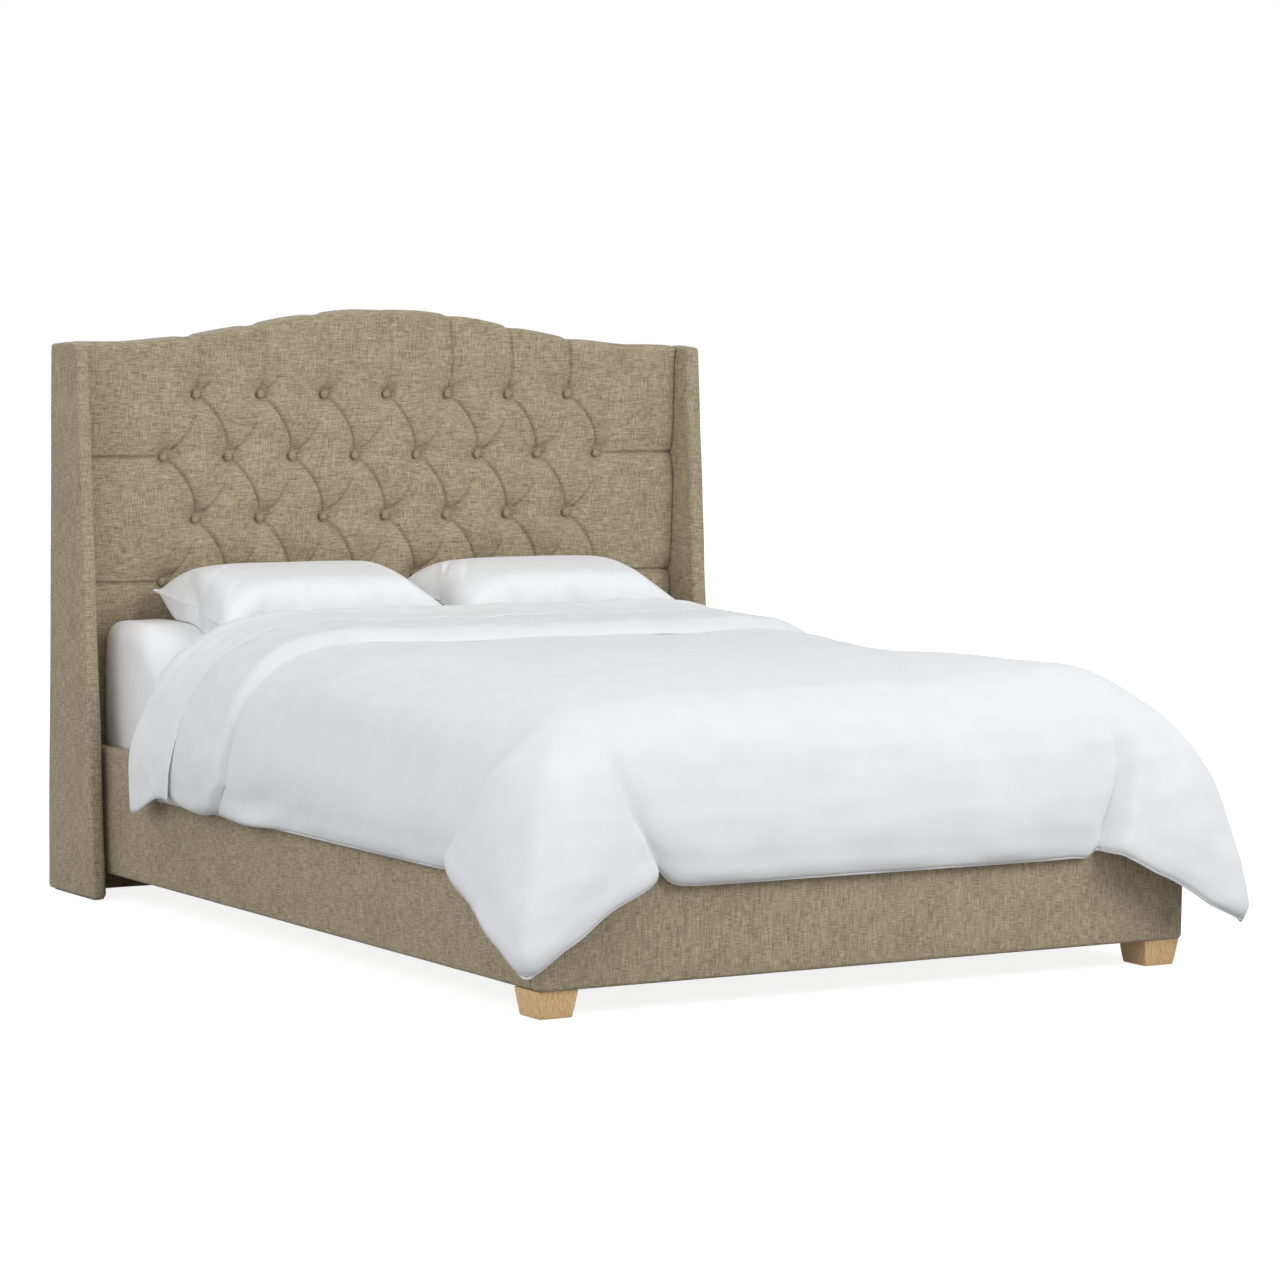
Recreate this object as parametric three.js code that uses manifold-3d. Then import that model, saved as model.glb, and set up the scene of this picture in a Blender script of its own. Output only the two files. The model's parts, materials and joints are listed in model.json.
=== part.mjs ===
// Upholstered wingback bed: tufted arched headboard between two wings, padded rails, slatted
// deck on a centre beam, mattress and bedding. Millimetres, +Z up, head of the bed at +Y,
// foot at -Y. Every piece is placed with the back of the headboard at y = 0; the whole bed is
// moved to the centre of its outer box at the end.

import * as THREE from 'three';
import { mergeVertices } from 'three/addons/utils/BufferGeometryUtils.js';
import Module from 'manifold-3d';

const wasm = await Module();
wasm.setup();

// ---------------------------------------------------------------- driving dimensions

const SEAT = 0.3;                    // air between two pieces that rest on each other
const PAST = 10;                     // how far a cutting tool runs past the face it opens
const ROUND_SIDES = 20;              // facets of a turned piece

const MATTRESS_WIDTH = 1524;         // queen size
const MATTRESS_LENGTH = 2032;
const MATTRESS_THICKNESS = 300;
const MATTRESS_EDGE_RADIUS = 75;
const MATTRESS_EDGE_STEPS = 3;
const MATTRESS_PRESS = 89;           // under the duvet its sides and foot lie this much lower
const MATTRESS_PRESS_REACH = 332;    // from an edge to where the top is level again
const MATTRESS_PRESS_STEPS = 4;
const MATTRESS_PRESS_CORNER = 4;     // higher meets more sharply at the foot corners
const PRESS_HEAD_START = 250;        // the top is level under the pillows, down to here
const PRESS_HEAD_END = 450;
const PRESS_HEAD_STEPS = 3;
const MATTRESS_SIDE_CLEARANCE = 6;   // mattress to each side rail
const MATTRESS_HEAD_CLEARANCE = 3;
const MATTRESS_FOOT_CLEARANCE = 5.6;

const FOOT_HEIGHT = 57;              // wooden block foot, and the rails' ground clearance
const FOOT_TOP_WIDTH = 94;
const FOOT_BOTTOM_WIDTH = 77;
const FOOT_INSET_SIDE = 1.5;         // foot's top edge inside the rail's face
const FOOT_INSET_FRONT = 9.5;

const RAIL_HEIGHT = 293;
const RAIL_CORE_THICKNESS = 26;
const RAIL_PAD_OUTER = 12;
const RAIL_PAD_INNER = 4;
const RAIL_PAD_TOP = 8;
const RAIL_EDGE_RADIUS = 8;
const FOOT_RAIL_CORNER_RADIUS = 18;

const DECK_HEIGHT = 312;             // top of the slats
const SLAT_COUNT = 10;
const SLAT_WIDTH = 89;
const SLAT_THICKNESS = 19;
const SLAT_END_CLEARANCE = 3;
const SLAT_MARGIN = 45;              // first and last slat to the headboard and the foot rail
const LEDGER_WIDTH = 30;
const LEDGER_HEIGHT = 40;
const LEDGER_END_CLEARANCE = 12;

const BEAM_WIDTH = 40;
const BEAM_HEIGHT = 70;
const HANGER_THICKNESS = 3;
const HANGER_LENGTH = 50;
const CENTRE_LEG_COUNT = 2;
const CENTRE_LEG_WIDTH = 45;

const LEVELLER_TRAVEL = 10;          // how far a leveller screws up into its leg
const LEVELLER_PAD_RADIUS = 19;
const LEVELLER_PAD_NECK_RADIUS = 12;
const LEVELLER_PAD_RIM_HEIGHT = 5;
const LEVELLER_PAD_HEIGHT = 8;
const STEM_RADIUS = 4;
const STEM_RUNNING_CLEARANCE = 0.3;
const STEM_LENGTH = 52;
const STEM_NUT_RADIUS = 8;
const HEXAGON = 6;
const STEM_NUT_HEIGHT = 6;
const STEM_NUT_RISE = 5;             // nut above the foot of the stem
const STEM_END_CLEARANCE = 2;

const CORNER_BLOCK_WIDTH = 80;
const CORNER_BLOCK_HEIGHT = 70;
const BRACKET_THICKNESS = 3;
const BRACKET_LEG = 60;
const BRACKET_HEIGHT = 100;
const BRACKET_CLEARANCE = 12;        // bracket under the ledger

const FLOOR_GAP = 3;                 // headboard and wings stand this high, on glide strips
const WING_BELOW_SHOULDER = 5;       // top of the wings under the headboard's shoulders
const WING_DEPTH_TOP = 138;
const WING_DEPTH_BOTTOM = 251;
const WING_BOARD_THICKNESS = 22;
const WING_PAD = 7;
const WING_EDGE_RADIUS = 9;
const WING_EDGE_STEPS = 3;
const WING_TO_RAIL = 16;
const GLIDE_WIDTH = 16;
const GLIDE_INSET = 20;

const HEADBOARD_SHOULDER_HEIGHT = 1291;
const ARCH_RISE = 79;
const ARCH_HALF_SPAN = 710;
const ARCH_STEPS = 36;
const BACK_CLOTH_THICKNESS = 1.5;
const FRAME_DEPTH = 30;
const PANEL_THICKNESS = 9;
const FOAM_THICKNESS = 20;
const COVER_THICKNESS = 16;          // tufted fabric with its wadding
const COVER_WRAP = 3;                // the same fabric where it turns over the edge
const STILE_WIDTH = 60;
const BOTTOM_RAIL_HEIGHT = 260;
const MIDDLE_RAIL_HEIGHT = 60;
const CROWN_RAIL_DEPTH = 62;         // timber under the lowest part of the arch

const BUTTON_RADIUS = 10.5;
const BUTTON_HEIGHT = 6.5;
const BUTTON_PITCH = 172;
const BUTTON_ROW_PITCH = 148;
const BUTTON_TOP_ROW_DROP = 202;     // top row below the crown of the arch
const BUTTON_ROWS = [7, 8, 7, 8];
const BUTTON_POCKET_CLEARANCE = 2;
const BUTTON_RECESS = 4;             // top of a button below the cover's face
const BUTTON_SIDES = 12;
const BUTTON_PROFILE = [[0, 0], [0.86, 0], [1, 0.3], [0.8, 0.8], [0, 1]]; // shares of radius and height
const TWINE_RADIUS = 1.2;
const TWINE_INTO_BUTTON = 1;
const TWINE_HOLE_CLEARANCE = 1.2;
const TWINE_SIDES = 6;

const FITTED_SHEET_THICKNESS = 2;
const FITTED_SHEET_TUCK = 18;        // lower edge of the fitted sheet above the deck
const FLAT_SHEET_THICKNESS = 2;
const DUVET_THICKNESS = 24;
const DUVET_TURNED_BACK = 28;        // the duvet's head end lies folded back, this much thicker
const DUVET_TURN_LENGTH = 400;       // from the fold to where the folded part ends
const DUVET_TURN_FADE = 35;
const DUVET_HANG = 392;              // duvet past the flat of the mattress, along the cloth
const SHEET_HANG = 425;
const SHEET_UNDERLAP = 730;          // flat sheet left under the duvet
const SHEET_TURN_DOWN = 150;         // flat sheet folded back over the duvet
const SHEET_TAIL_LIFT = 35;          // behind its fold the sheet ends this far above the duvet's hem
const DRAPE_TO_RAIL = 1;
const DRAPE_LEAD = 20;               // cloth runs this far past the flat top before it turns down
const DRAPE_DROP = 130;              // height of the round shoulder over the mattress edge
const DRAPE_CORNER_FLARE = 125;      // how far the hanging corners stand out
const DRAPE_FLARE_START = 60;
const SHOULDER_STEPS = 6;            // facets round the shoulder
const DUVET_ALONG_STEPS = 2;
const DUVET_HANG_STEPS = 6;
const SHEET_HANG_STEPS = 4;
const SHEET_UNDERLAP_STEPS = 3;
const SHEET_FOLD_STEPS = 6;
const SHEET_TURN_DOWN_STEPS = 2;

const PILLOW_LENGTH = 676;
const PILLOW_WIDTH = 400;
const PILLOW_RISE = 96;              // above the seam
const PILLOW_SINK = 50;              // below the seam
const PILLOW_SEAM = 8;
const PILLOW_CROWN = 3;              // higher is fuller towards the edges
const PILLOW_COLUMNS = 14;
const PILLOW_ROWS = 10;
const PILLOW_GAP = 4;                // each pillow to the middle of the bed
const PILLOW_HEAD_CLEARANCE = 6;
const PILLOW_TO_SHEET = 2;

// ---------------------------------------------------------------- derived places

const railThickness = RAIL_PAD_INNER + RAIL_CORE_THICKNESS + RAIL_PAD_OUTER;
const railInner = MATTRESS_WIDTH / 2 + MATTRESS_SIDE_CLEARANCE;
const railOuter = railInner + railThickness;
const railBottom = FOOT_HEIGHT;
const railTop = railBottom + RAIL_HEIGHT;
const coreTop = railTop - RAIL_PAD_TOP;

const frameBack = BACK_CLOTH_THICKNESS + SEAT;
const panelBack = frameBack + FRAME_DEPTH;
const foamBack = panelBack + PANEL_THICKNESS + SEAT;
const coverBack = foamBack + FOAM_THICKNESS + SEAT;
const headboardFace = coverBack + COVER_THICKNESS;
const pocketFloor = headboardFace - BUTTON_HEIGHT - BUTTON_RECESS;

const mattressHead = headboardFace + MATTRESS_HEAD_CLEARANCE;
const mattressFoot = mattressHead + MATTRESS_LENGTH;
const footRailInner = mattressFoot + MATTRESS_FOOT_CLEARANCE;
const footRailOuter = footRailInner + railThickness;

const wingInner = railOuter + WING_TO_RAIL;
const wingThickness = WING_BOARD_THICKNESS + 2 * WING_PAD;
const wingOuter = wingInner + wingThickness;
const wingTop = HEADBOARD_SHOULDER_HEIGHT - WING_BELOW_SHOULDER;

const coverHalfWidth = wingInner - SEAT;
const coreHalfWidth = coverHalfWidth - COVER_WRAP - SEAT;
const coreTopInset = COVER_WRAP + SEAT;

const deckUnderside = DECK_HEIGHT - SLAT_THICKNESS;
const ledgerBottom = deckUnderside - SEAT - LEDGER_HEIGHT;
const beamTop = deckUnderside - SEAT;
const beamBottom = beamTop - BEAM_HEIGHT;
const bracketTop = ledgerBottom - BRACKET_CLEARANCE;

const mattressBottom = DECK_HEIGHT + SEAT;
const mattressTop = mattressBottom + MATTRESS_THICKNESS;
const fittedTop = mattressTop + SEAT + FITTED_SHEET_THICKNESS;

const underSheet = SEAT + FLAT_SHEET_THICKNESS / 2;
const duvetInside = SEAT + FLAT_SHEET_THICKNESS + SEAT;
const duvetOutside = duvetInside + DUVET_THICKNESS;
const overSheet = duvetOutside + DUVET_TURNED_BACK + SEAT + FLAT_SHEET_THICKNESS / 2;
const foldRadius = (overSheet - underSheet) / 2;
const foldMiddle = (overSheet + underSheet) / 2;
const pillowHead = headboardFace + PILLOW_HEAD_CLEARANCE;
const foldStart = pillowHead + PILLOW_WIDTH + PILLOW_TO_SHEET + foldRadius + FLAT_SHEET_THICKNESS / 2;
const duvetHead = foldStart + SEAT;

const stemBottom = LEVELLER_PAD_HEIGHT + SEAT;
const nutBottom = stemBottom + STEM_NUT_RISE;
const legBottom = nutBottom + STEM_NUT_HEIGHT + LEVELLER_TRAVEL + STEM_END_CLEARANCE;
const stemTop = stemBottom + STEM_LENGTH;
const stemHoleTop = stemTop + LEVELLER_TRAVEL + STEM_END_CLEARANCE;

// ---------------------------------------------------------------- materials

/** One plain finish, as a colour with its roughness and metalness. */
function finish(color, roughness, metalness = 0) {
  return new THREE.MeshStandardMaterial({ color, roughness, metalness });
}

const linen = finish('#968a70', 0.95);
const backCloth = finish('#8c8168', 0.95);
const whiteCotton = finish('#e6e8ea', 0.9);
const ticking = finish('#dcdcd6', 0.9);
const foamYellow = finish('#d9d2b4', 0.9);
const twineLinen = finish('#8a7f66', 0.9);
const pine = finish('#cfae7c', 0.7);
const plywood = finish('#c6a372', 0.7);
const oak = finish('#c49f68', 0.5);
const zincSteel = finish('#a9acae', 0.4, 0.9);
const blackNylon = finish('#26262a', 0.6);

// ---------------------------------------------------------------- solids

/** A closed manifold from any closed geometry. */
function solid(geometry) {
  const bare = geometry.index ? geometry.toNonIndexed() : geometry.clone();
  bare.deleteAttribute('normal');
  bare.deleteAttribute('uv');
  const merged = mergeVertices(bare, 1e-4);
  return new wasm.Manifold(new wasm.Mesh({
    numProp: 3,
    vertProperties: new Float32Array(merged.attributes.position.array),
    triVerts: new Uint32Array(merged.index.array),
  }));
}

/** The geometry of a manifold. */
function geometryOf(manifold) {
  const mesh = manifold.getMesh();
  const geometry = new THREE.BufferGeometry();
  geometry.setAttribute('position', new THREE.BufferAttribute(new Float32Array(mesh.vertProperties), 3));
  geometry.setIndex(new THREE.BufferAttribute(new Uint32Array(mesh.triVerts), 1));
  const flat = geometry.toNonIndexed();
  flat.computeVertexNormals();
  return flat;
}

/** First geometry with every other one cut from it. */
function cut(geometry, ...tools) {
  const result = tools.reduce((body, tool) => body.subtract(solid(tool)), solid(geometry));
  return geometryOf(result);
}

/** All geometries joined. */
function join(...geometries) {
  return geometryOf(geometries.map(solid).reduce((body, other) => body.add(other)));
}

/** A box from its two corners. */
function block([x0, y0, z0], [x1, y1, z1]) {
  const geometry = new THREE.BoxGeometry(Math.abs(x1 - x0), Math.abs(y1 - y0), Math.abs(z1 - z0));
  return geometry.translate((x0 + x1) / 2, (y0 + y1) / 2, (z0 + z1) / 2);
}

/** An upright round bar. */
function bar(radius, z0, z1, x, y, sides = ROUND_SIDES) {
  const geometry = new THREE.CylinderGeometry(radius, radius, z1 - z0, sides);
  return geometry.rotateX(Math.PI / 2).translate(x, y, (z0 + z1) / 2);
}

/** A round bar along +Y from the front to the back of the headboard. */
function crossBar(radius, y0, y1, x, z, sides = TWINE_SIDES) {
  const geometry = new THREE.CylinderGeometry(radius, radius, y1 - y0, sides);
  return geometry.translate(x, (y0 + y1) / 2, z);
}

/** An outline in X and Z, thickened from y = -back to y = -(back + depth). */
function slab(outline, back, depth) {
  const geometry = new THREE.ExtrudeGeometry(outline, { depth, bevelEnabled: false, curveSegments: 3 });
  return geometry.rotateX(Math.PI / 2).translate(0, -back, 0);
}

/** Mirror image of a geometry in the bed's middle plane. */
function mirrored(geometry) {
  const copy = geometry.index ? geometry.toNonIndexed() : geometry.clone();
  copy.scale(-1, 1, 1);
  const position = copy.attributes.position;
  const first = new THREE.Vector3();
  const last = new THREE.Vector3();
  for (let corner = 0; corner < position.count; corner += 3) {
    first.fromBufferAttribute(position, corner);
    last.fromBufferAttribute(position, corner + 2);
    position.setXYZ(corner, last.x, last.y, last.z);
    position.setXYZ(corner + 2, first.x, first.y, first.z);
  }
  copy.computeVertexNormals();
  return copy;
}

/** A rectangle with its own radius at each corner, counted from the lower left. */
function roundedRectangle(x0, y0, x1, y1, [lowLeft, lowRight, highRight, highLeft]) {
  const shape = new THREE.Shape();
  shape.moveTo(x0 + lowLeft, y0);
  shape.lineTo(x1 - lowRight, y0);
  shape.quadraticCurveTo(x1, y0, x1, y0 + lowRight);
  shape.lineTo(x1, y1 - highRight);
  shape.quadraticCurveTo(x1, y1, x1 - highRight, y1);
  shape.lineTo(x0 + highLeft, y1);
  shape.quadraticCurveTo(x0, y1, x0, y1 - highLeft);
  shape.lineTo(x0, y0 + lowLeft);
  shape.quadraticCurveTo(x0, y0, x0 + lowLeft, y0);
  return shape;
}

const bed = new THREE.Group();

/** Adds one named piece to the bed. */
function piece(name, geometry, material) {
  const mesh = new THREE.Mesh(geometry, material);
  mesh.name = name;
  bed.add(mesh);
}

/** Adds the right-hand piece as it is given, and its left-hand twin. */
function pair(name, geometry, material) {
  piece(`${name}_right`, geometry, material);
  piece(`${name}_left`, mirrored(geometry), material);
}

// ---------------------------------------------------------------- headboard

/** Height of the headboard's arched top at a place across the bed. */
function archHeight(x) {
  const along = Math.min(Math.abs(x) / ARCH_HALF_SPAN, 1);
  return HEADBOARD_SHOULDER_HEIGHT + (ARCH_RISE / 2) * (1 + Math.cos(Math.PI * along));
}

/** Closed outline under the arch, with its top and sides moved in. */
function archedOutline(halfWidth, bottom, topInset) {
  const points = [new THREE.Vector2(-halfWidth, bottom), new THREE.Vector2(halfWidth, bottom)];
  for (let step = 0; step <= ARCH_STEPS; step += 1) {
    const x = halfWidth * (1 - (2 * step) / ARCH_STEPS);
    points.push(new THREE.Vector2(x, archHeight(x) - topInset));
  }
  return new THREE.Shape(points);
}

/** Places of the tufting buttons, one list for each row from the top down. */
function buttonRows() {
  const topRow = HEADBOARD_SHOULDER_HEIGHT + ARCH_RISE - BUTTON_TOP_ROW_DROP;
  return BUTTON_ROWS.map((count, row) => Array.from({ length: count }, (_, index) => ({
    x: (index - (count - 1) / 2) * BUTTON_PITCH,
    z: topRow - row * BUTTON_ROW_PITCH,
  })));
}

/** The outline with one hole for the twine behind each button. */
function drilledOutline(outline) {
  const radius = TWINE_RADIUS + TWINE_HOLE_CLEARANCE;
  for (const { x, z } of buttonRows().flat()) {
    const hole = new THREE.Path();
    hole.absarc(x, z, radius, 0, 2 * Math.PI, true);
    outline.holes.push(hole);
  }
  return outline;
}

/** Softwood frame behind the headboard's panel. */
function addHeadboardFrame() {
  const front = frameBack + FRAME_DEPTH;
  const stileTop = HEADBOARD_SHOULDER_HEIGHT - coreTopInset;
  const between = coreHalfWidth - STILE_WIDTH - SEAT;
  const rows = buttonRows();
  const middle = (rows[2][0].z + rows[3][0].z) / 2;
  const crown = archedOutline(between, stileTop - CROWN_RAIL_DEPTH, coreTopInset);
  pair('headboard_stile', block(
    [coreHalfWidth - STILE_WIDTH, -front, FLOOR_GAP],
    [coreHalfWidth, -frameBack, stileTop],
  ), pine);
  piece('headboard_bottom_rail', block(
    [-between, -front, railBottom],
    [between, -frameBack, railBottom + BOTTOM_RAIL_HEIGHT],
  ), pine);
  piece('headboard_middle_rail', block(
    [-between, -front, middle - MIDDLE_RAIL_HEIGHT / 2],
    [between, -frameBack, middle + MIDDLE_RAIL_HEIGHT / 2],
  ), pine);
  piece('headboard_crown_rail', slab(crown, frameBack, FRAME_DEPTH), pine);
}

/** Plywood panel, foam and the cloth at the back. */
function addHeadboardLayers() {
  const panel = drilledOutline(archedOutline(coreHalfWidth, FLOOR_GAP, coreTopInset));
  const foam = drilledOutline(archedOutline(coreHalfWidth, FLOOR_GAP, coreTopInset));
  const cloth = archedOutline(coverHalfWidth, FLOOR_GAP, 0);
  piece('headboard_panel', slab(panel, panelBack, PANEL_THICKNESS), plywood);
  piece('headboard_foam', slab(foam, foamBack, FOAM_THICKNESS), foamYellow);
  piece('headboard_back_cloth', slab(cloth, 0, BACK_CLOTH_THICKNESS), backCloth);
}

/** Tufted cover: fabric and wadding over the face, wrapped round the top and the sides. */
function addHeadboardCover() {
  const body = slab(archedOutline(coverHalfWidth, FLOOR_GAP, 0), frameBack, headboardFace - frameBack);
  const inside = archedOutline(coverHalfWidth - COVER_WRAP, FLOOR_GAP - PAST, COVER_WRAP);
  const cavity = slab(inside, frameBack - PAST, coverBack - frameBack + PAST);
  const pocketRadius = BUTTON_RADIUS + BUTTON_POCKET_CLEARANCE;
  const tools = buttonRows().flat().flatMap(({ x, z }) => [
    crossBar(pocketRadius, -headboardFace - PAST, -pocketFloor, x, z, BUTTON_SIDES),
    crossBar(TWINE_RADIUS + TWINE_HOLE_CLEARANCE, -pocketFloor - PAST, -coverBack + PAST, x, z),
  ]);
  piece('headboard_cover', cut(body, cavity, ...tools), linen);
}

/** One row of covered buttons, with the twine that pulls them in tied along the panel's back. */
function buttonRow(row) {
  const seat = pocketFloor + SEAT;
  const runBack = panelBack - SEAT - 2 * TWINE_RADIUS;
  const profile = BUTTON_PROFILE.map(([radius, height]) => (
    new THREE.Vector2(radius * BUTTON_RADIUS, height * BUTTON_HEIGHT)
  ));
  const caps = row.map(({ x, z }) => new THREE.LatheGeometry(profile, BUTTON_SIDES)
    .rotateZ(Math.PI)
    .translate(x, -seat, z));
  const stems = row.map(({ x, z }) => crossBar(TWINE_RADIUS, -seat - TWINE_INTO_BUTTON, -runBack, x, z));
  const length = row[row.length - 1].x - row[0].x;
  const run = new THREE.CylinderGeometry(TWINE_RADIUS, TWINE_RADIUS, length, TWINE_SIDES)
    .rotateZ(Math.PI / 2)
    .translate(0, -runBack - TWINE_RADIUS, row[0].z);
  return join(run, ...stems, ...caps);
}

/** All rows of buttons. */
function addButtons() {
  buttonRows().forEach((row, index) => piece(`button_row_${index + 1}`, buttonRow(row), twineLinen));
}

// ---------------------------------------------------------------- wings

/** Side view of a wing, in depth and height, moved in from its edge. */
function wingOutline(inset, bottom) {
  const slope = (WING_DEPTH_BOTTOM - WING_DEPTH_TOP) / (wingTop - FLOOR_GAP);
  const frontAt = (z) => WING_DEPTH_TOP + slope * (wingTop - z) - inset;
  const top = wingTop - inset;
  return new THREE.Shape([
    new THREE.Vector2(inset, bottom),
    new THREE.Vector2(frontAt(bottom), bottom),
    new THREE.Vector2(frontAt(top), top),
    new THREE.Vector2(inset, top),
  ]);
}

/** A closed slab in the Y and Z plane: the outline's first axis runs towards the foot. */
function wingSolid(outline, inner, thickness, bevel) {
  const geometry = new THREE.ExtrudeGeometry(outline, {
    depth: thickness - 2 * bevel,
    bevelEnabled: bevel > 0,
    bevelSize: bevel,
    bevelThickness: bevel,
    bevelOffset: -bevel,
    bevelSegments: WING_EDGE_STEPS,
  });
  const turn = new THREE.Matrix4().makeBasis(
    new THREE.Vector3(0, -1, 0),
    new THREE.Vector3(0, 0, 1),
    new THREE.Vector3(-1, 0, 0),
  );
  return geometry.applyMatrix4(turn).translate(inner + thickness - bevel, 0, 0);
}

/** Wing boards, their padded covers and the strips they stand on. */
function addWings() {
  const boardInset = WING_PAD;
  const boardInner = wingInner + WING_PAD;
  const board = wingSolid(wingOutline(boardInset, FLOOR_GAP), boardInner, WING_BOARD_THICKNESS, 0);
  const footing = FLOOR_GAP - WING_EDGE_RADIUS;
  const skin = wingSolid(wingOutline(0, footing), wingInner, wingThickness, WING_EDGE_RADIUS);
  const hollow = wingSolid(
    wingOutline(boardInset - SEAT, footing - PAST),
    boardInner - SEAT,
    WING_BOARD_THICKNESS + 2 * SEAT,
    0,
  );
  const floor = block(
    [wingInner - PAST, PAST, footing - PAST],
    [wingOuter + PAST, -WING_DEPTH_BOTTOM - PAST, FLOOR_GAP],
  );
  const stripMiddle = wingInner + wingThickness / 2;
  pair('wing_board', board, plywood);
  pair('wing_cover', cut(skin, hollow, floor), linen);
  pair('wing_glide', block(
    [stripMiddle - GLIDE_WIDTH / 2, -GLIDE_INSET, 0],
    [stripMiddle + GLIDE_WIDTH / 2, -WING_DEPTH_BOTTOM + GLIDE_INSET, FLOOR_GAP - SEAT],
  ), blackNylon);
}

// ---------------------------------------------------------------- rails, feet and deck

/** Side rails: a timber core in a padded cover, open underneath and at its ends. */
function addSideRails() {
  const head = headboardFace + SEAT;
  const foot = footRailInner - SEAT;
  const coreInner = railInner + RAIL_PAD_INNER;
  const section = roundedRectangle(
    railInner,
    railBottom,
    railOuter,
    railTop,
    [0, 0, RAIL_EDGE_RADIUS, RAIL_PAD_INNER / 2],
  );
  const core = block(
    [coreInner, -head, railBottom],
    [coreInner + RAIL_CORE_THICKNESS, -foot, coreTop],
  );
  const cavity = block(
    [coreInner - SEAT, -head + PAST, railBottom - PAST],
    [coreInner + RAIL_CORE_THICKNESS + SEAT, -foot - PAST, coreTop + SEAT],
  );
  pair('side_rail', core, pine);
  pair('side_rail_cover', cut(slab(section, head, foot - head), cavity), linen);
}

/** Foot rail: the same build, with rounded corners and closed ends. */
function addFootRail() {
  const coreHalf = railOuter - RAIL_PAD_OUTER;
  const coreInner = footRailInner + RAIL_PAD_INNER;
  const plan = roundedRectangle(
    -railOuter,
    -footRailOuter,
    railOuter,
    -footRailInner,
    [FOOT_RAIL_CORNER_RADIUS, FOOT_RAIL_CORNER_RADIUS, 0, 0],
  );
  const body = new THREE.ExtrudeGeometry(plan, { depth: RAIL_HEIGHT, bevelEnabled: false });
  body.translate(0, 0, railBottom);
  const cavity = block(
    [-coreHalf - SEAT, -coreInner + SEAT, railBottom - PAST],
    [coreHalf + SEAT, -coreInner - RAIL_CORE_THICKNESS - SEAT, coreTop + SEAT],
  );
  piece('foot_rail', block(
    [-coreHalf, -coreInner, railBottom],
    [coreHalf, -coreInner - RAIL_CORE_THICKNESS, coreTop],
  ), pine);
  piece('foot_rail_cover', cut(body, cavity), linen);
}

/** Tapered block feet under the front corners, and the blocks they are screwed to. */
function addFeet() {
  const x = railOuter - FOOT_INSET_SIDE - FOOT_TOP_WIDTH / 2;
  const y = -(footRailOuter - FOOT_INSET_FRONT - FOOT_TOP_WIDTH / 2);
  const height = FOOT_HEIGHT - SEAT;
  const topRadius = FOOT_TOP_WIDTH / Math.SQRT2;
  const bottomRadius = FOOT_BOTTOM_WIDTH / Math.SQRT2;
  const foot = new THREE.CylinderGeometry(topRadius, bottomRadius, height, 4)
    .rotateY(Math.PI / 4)
    .rotateX(Math.PI / 2)
    .translate(x, y, height / 2);
  const blockOuter = railInner - SEAT;
  const blockFront = footRailInner - SEAT;
  pair('foot', foot, oak);
  pair('corner_block', block(
    [blockOuter - CORNER_BLOCK_WIDTH, -blockFront, railBottom],
    [blockOuter, -blockFront + CORNER_BLOCK_WIDTH, railBottom + CORNER_BLOCK_HEIGHT],
  ), pine);
}

/** Steel angle in the corner of a rail, its legs running to smaller x and along +Y or -Y. */
function bracket(cornerX, cornerY, towards) {
  const outline = new THREE.Shape([
    new THREE.Vector2(0, 0),
    new THREE.Vector2(-BRACKET_LEG, 0),
    new THREE.Vector2(-BRACKET_LEG, BRACKET_THICKNESS),
    new THREE.Vector2(-BRACKET_THICKNESS, BRACKET_THICKNESS),
    new THREE.Vector2(-BRACKET_THICKNESS, BRACKET_LEG),
    new THREE.Vector2(0, BRACKET_LEG),
  ].map((point) => new THREE.Vector2(point.x, point.y * towards)));
  const geometry = new THREE.ExtrudeGeometry(outline, { depth: BRACKET_HEIGHT, bevelEnabled: false });
  return geometry.translate(cornerX, cornerY, bracketTop - BRACKET_HEIGHT);
}

/** Brackets that join the rails to the headboard and to the foot rail. */
function addBrackets() {
  pair('head_bracket', bracket(railInner - SEAT, -headboardFace - SEAT, -1), zincSteel);
  pair('foot_bracket', bracket(railInner - SEAT, -footRailInner + SEAT, 1), zincSteel);
}

/** Ledgers along the side rails and the slats across them. */
function addSlats() {
  const outer = railInner - SEAT;
  const head = headboardFace + LEDGER_END_CLEARANCE;
  const foot = footRailInner - LEDGER_END_CLEARANCE;
  pair('slat_ledger', block(
    [outer - LEDGER_WIDTH, -head, ledgerBottom],
    [outer, -foot, ledgerBottom + LEDGER_HEIGHT],
  ), pine);
  const half = railInner - SLAT_END_CLEARANCE;
  const first = headboardFace + SLAT_MARGIN + SLAT_WIDTH / 2;
  const last = footRailInner - SLAT_MARGIN - SLAT_WIDTH / 2;
  for (let index = 0; index < SLAT_COUNT; index += 1) {
    const middle = first + ((last - first) * index) / (SLAT_COUNT - 1);
    piece(`slat_${index + 1}`, block(
      [-half, -middle - SLAT_WIDTH / 2, deckUnderside],
      [half, -middle + SLAT_WIDTH / 2, DECK_HEIGHT],
    ), pine);
  }
}

/** Steel cup that carries one end of the centre beam. */
function hanger(face, towards) {
  const half = BEAM_WIDTH / 2 + SEAT;
  const low = beamBottom - SEAT - HANGER_THICKNESS;
  const back = face + towards * SEAT;
  const body = block(
    [-half - HANGER_THICKNESS, -back, low],
    [half + HANGER_THICKNESS, -back - towards * HANGER_LENGTH, beamTop],
  );
  const channel = block(
    [-half, -back - towards * HANGER_THICKNESS, beamBottom - SEAT],
    [half, -back - towards * (HANGER_LENGTH + PAST), beamTop + PAST],
  );
  return cut(body, channel);
}

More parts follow.
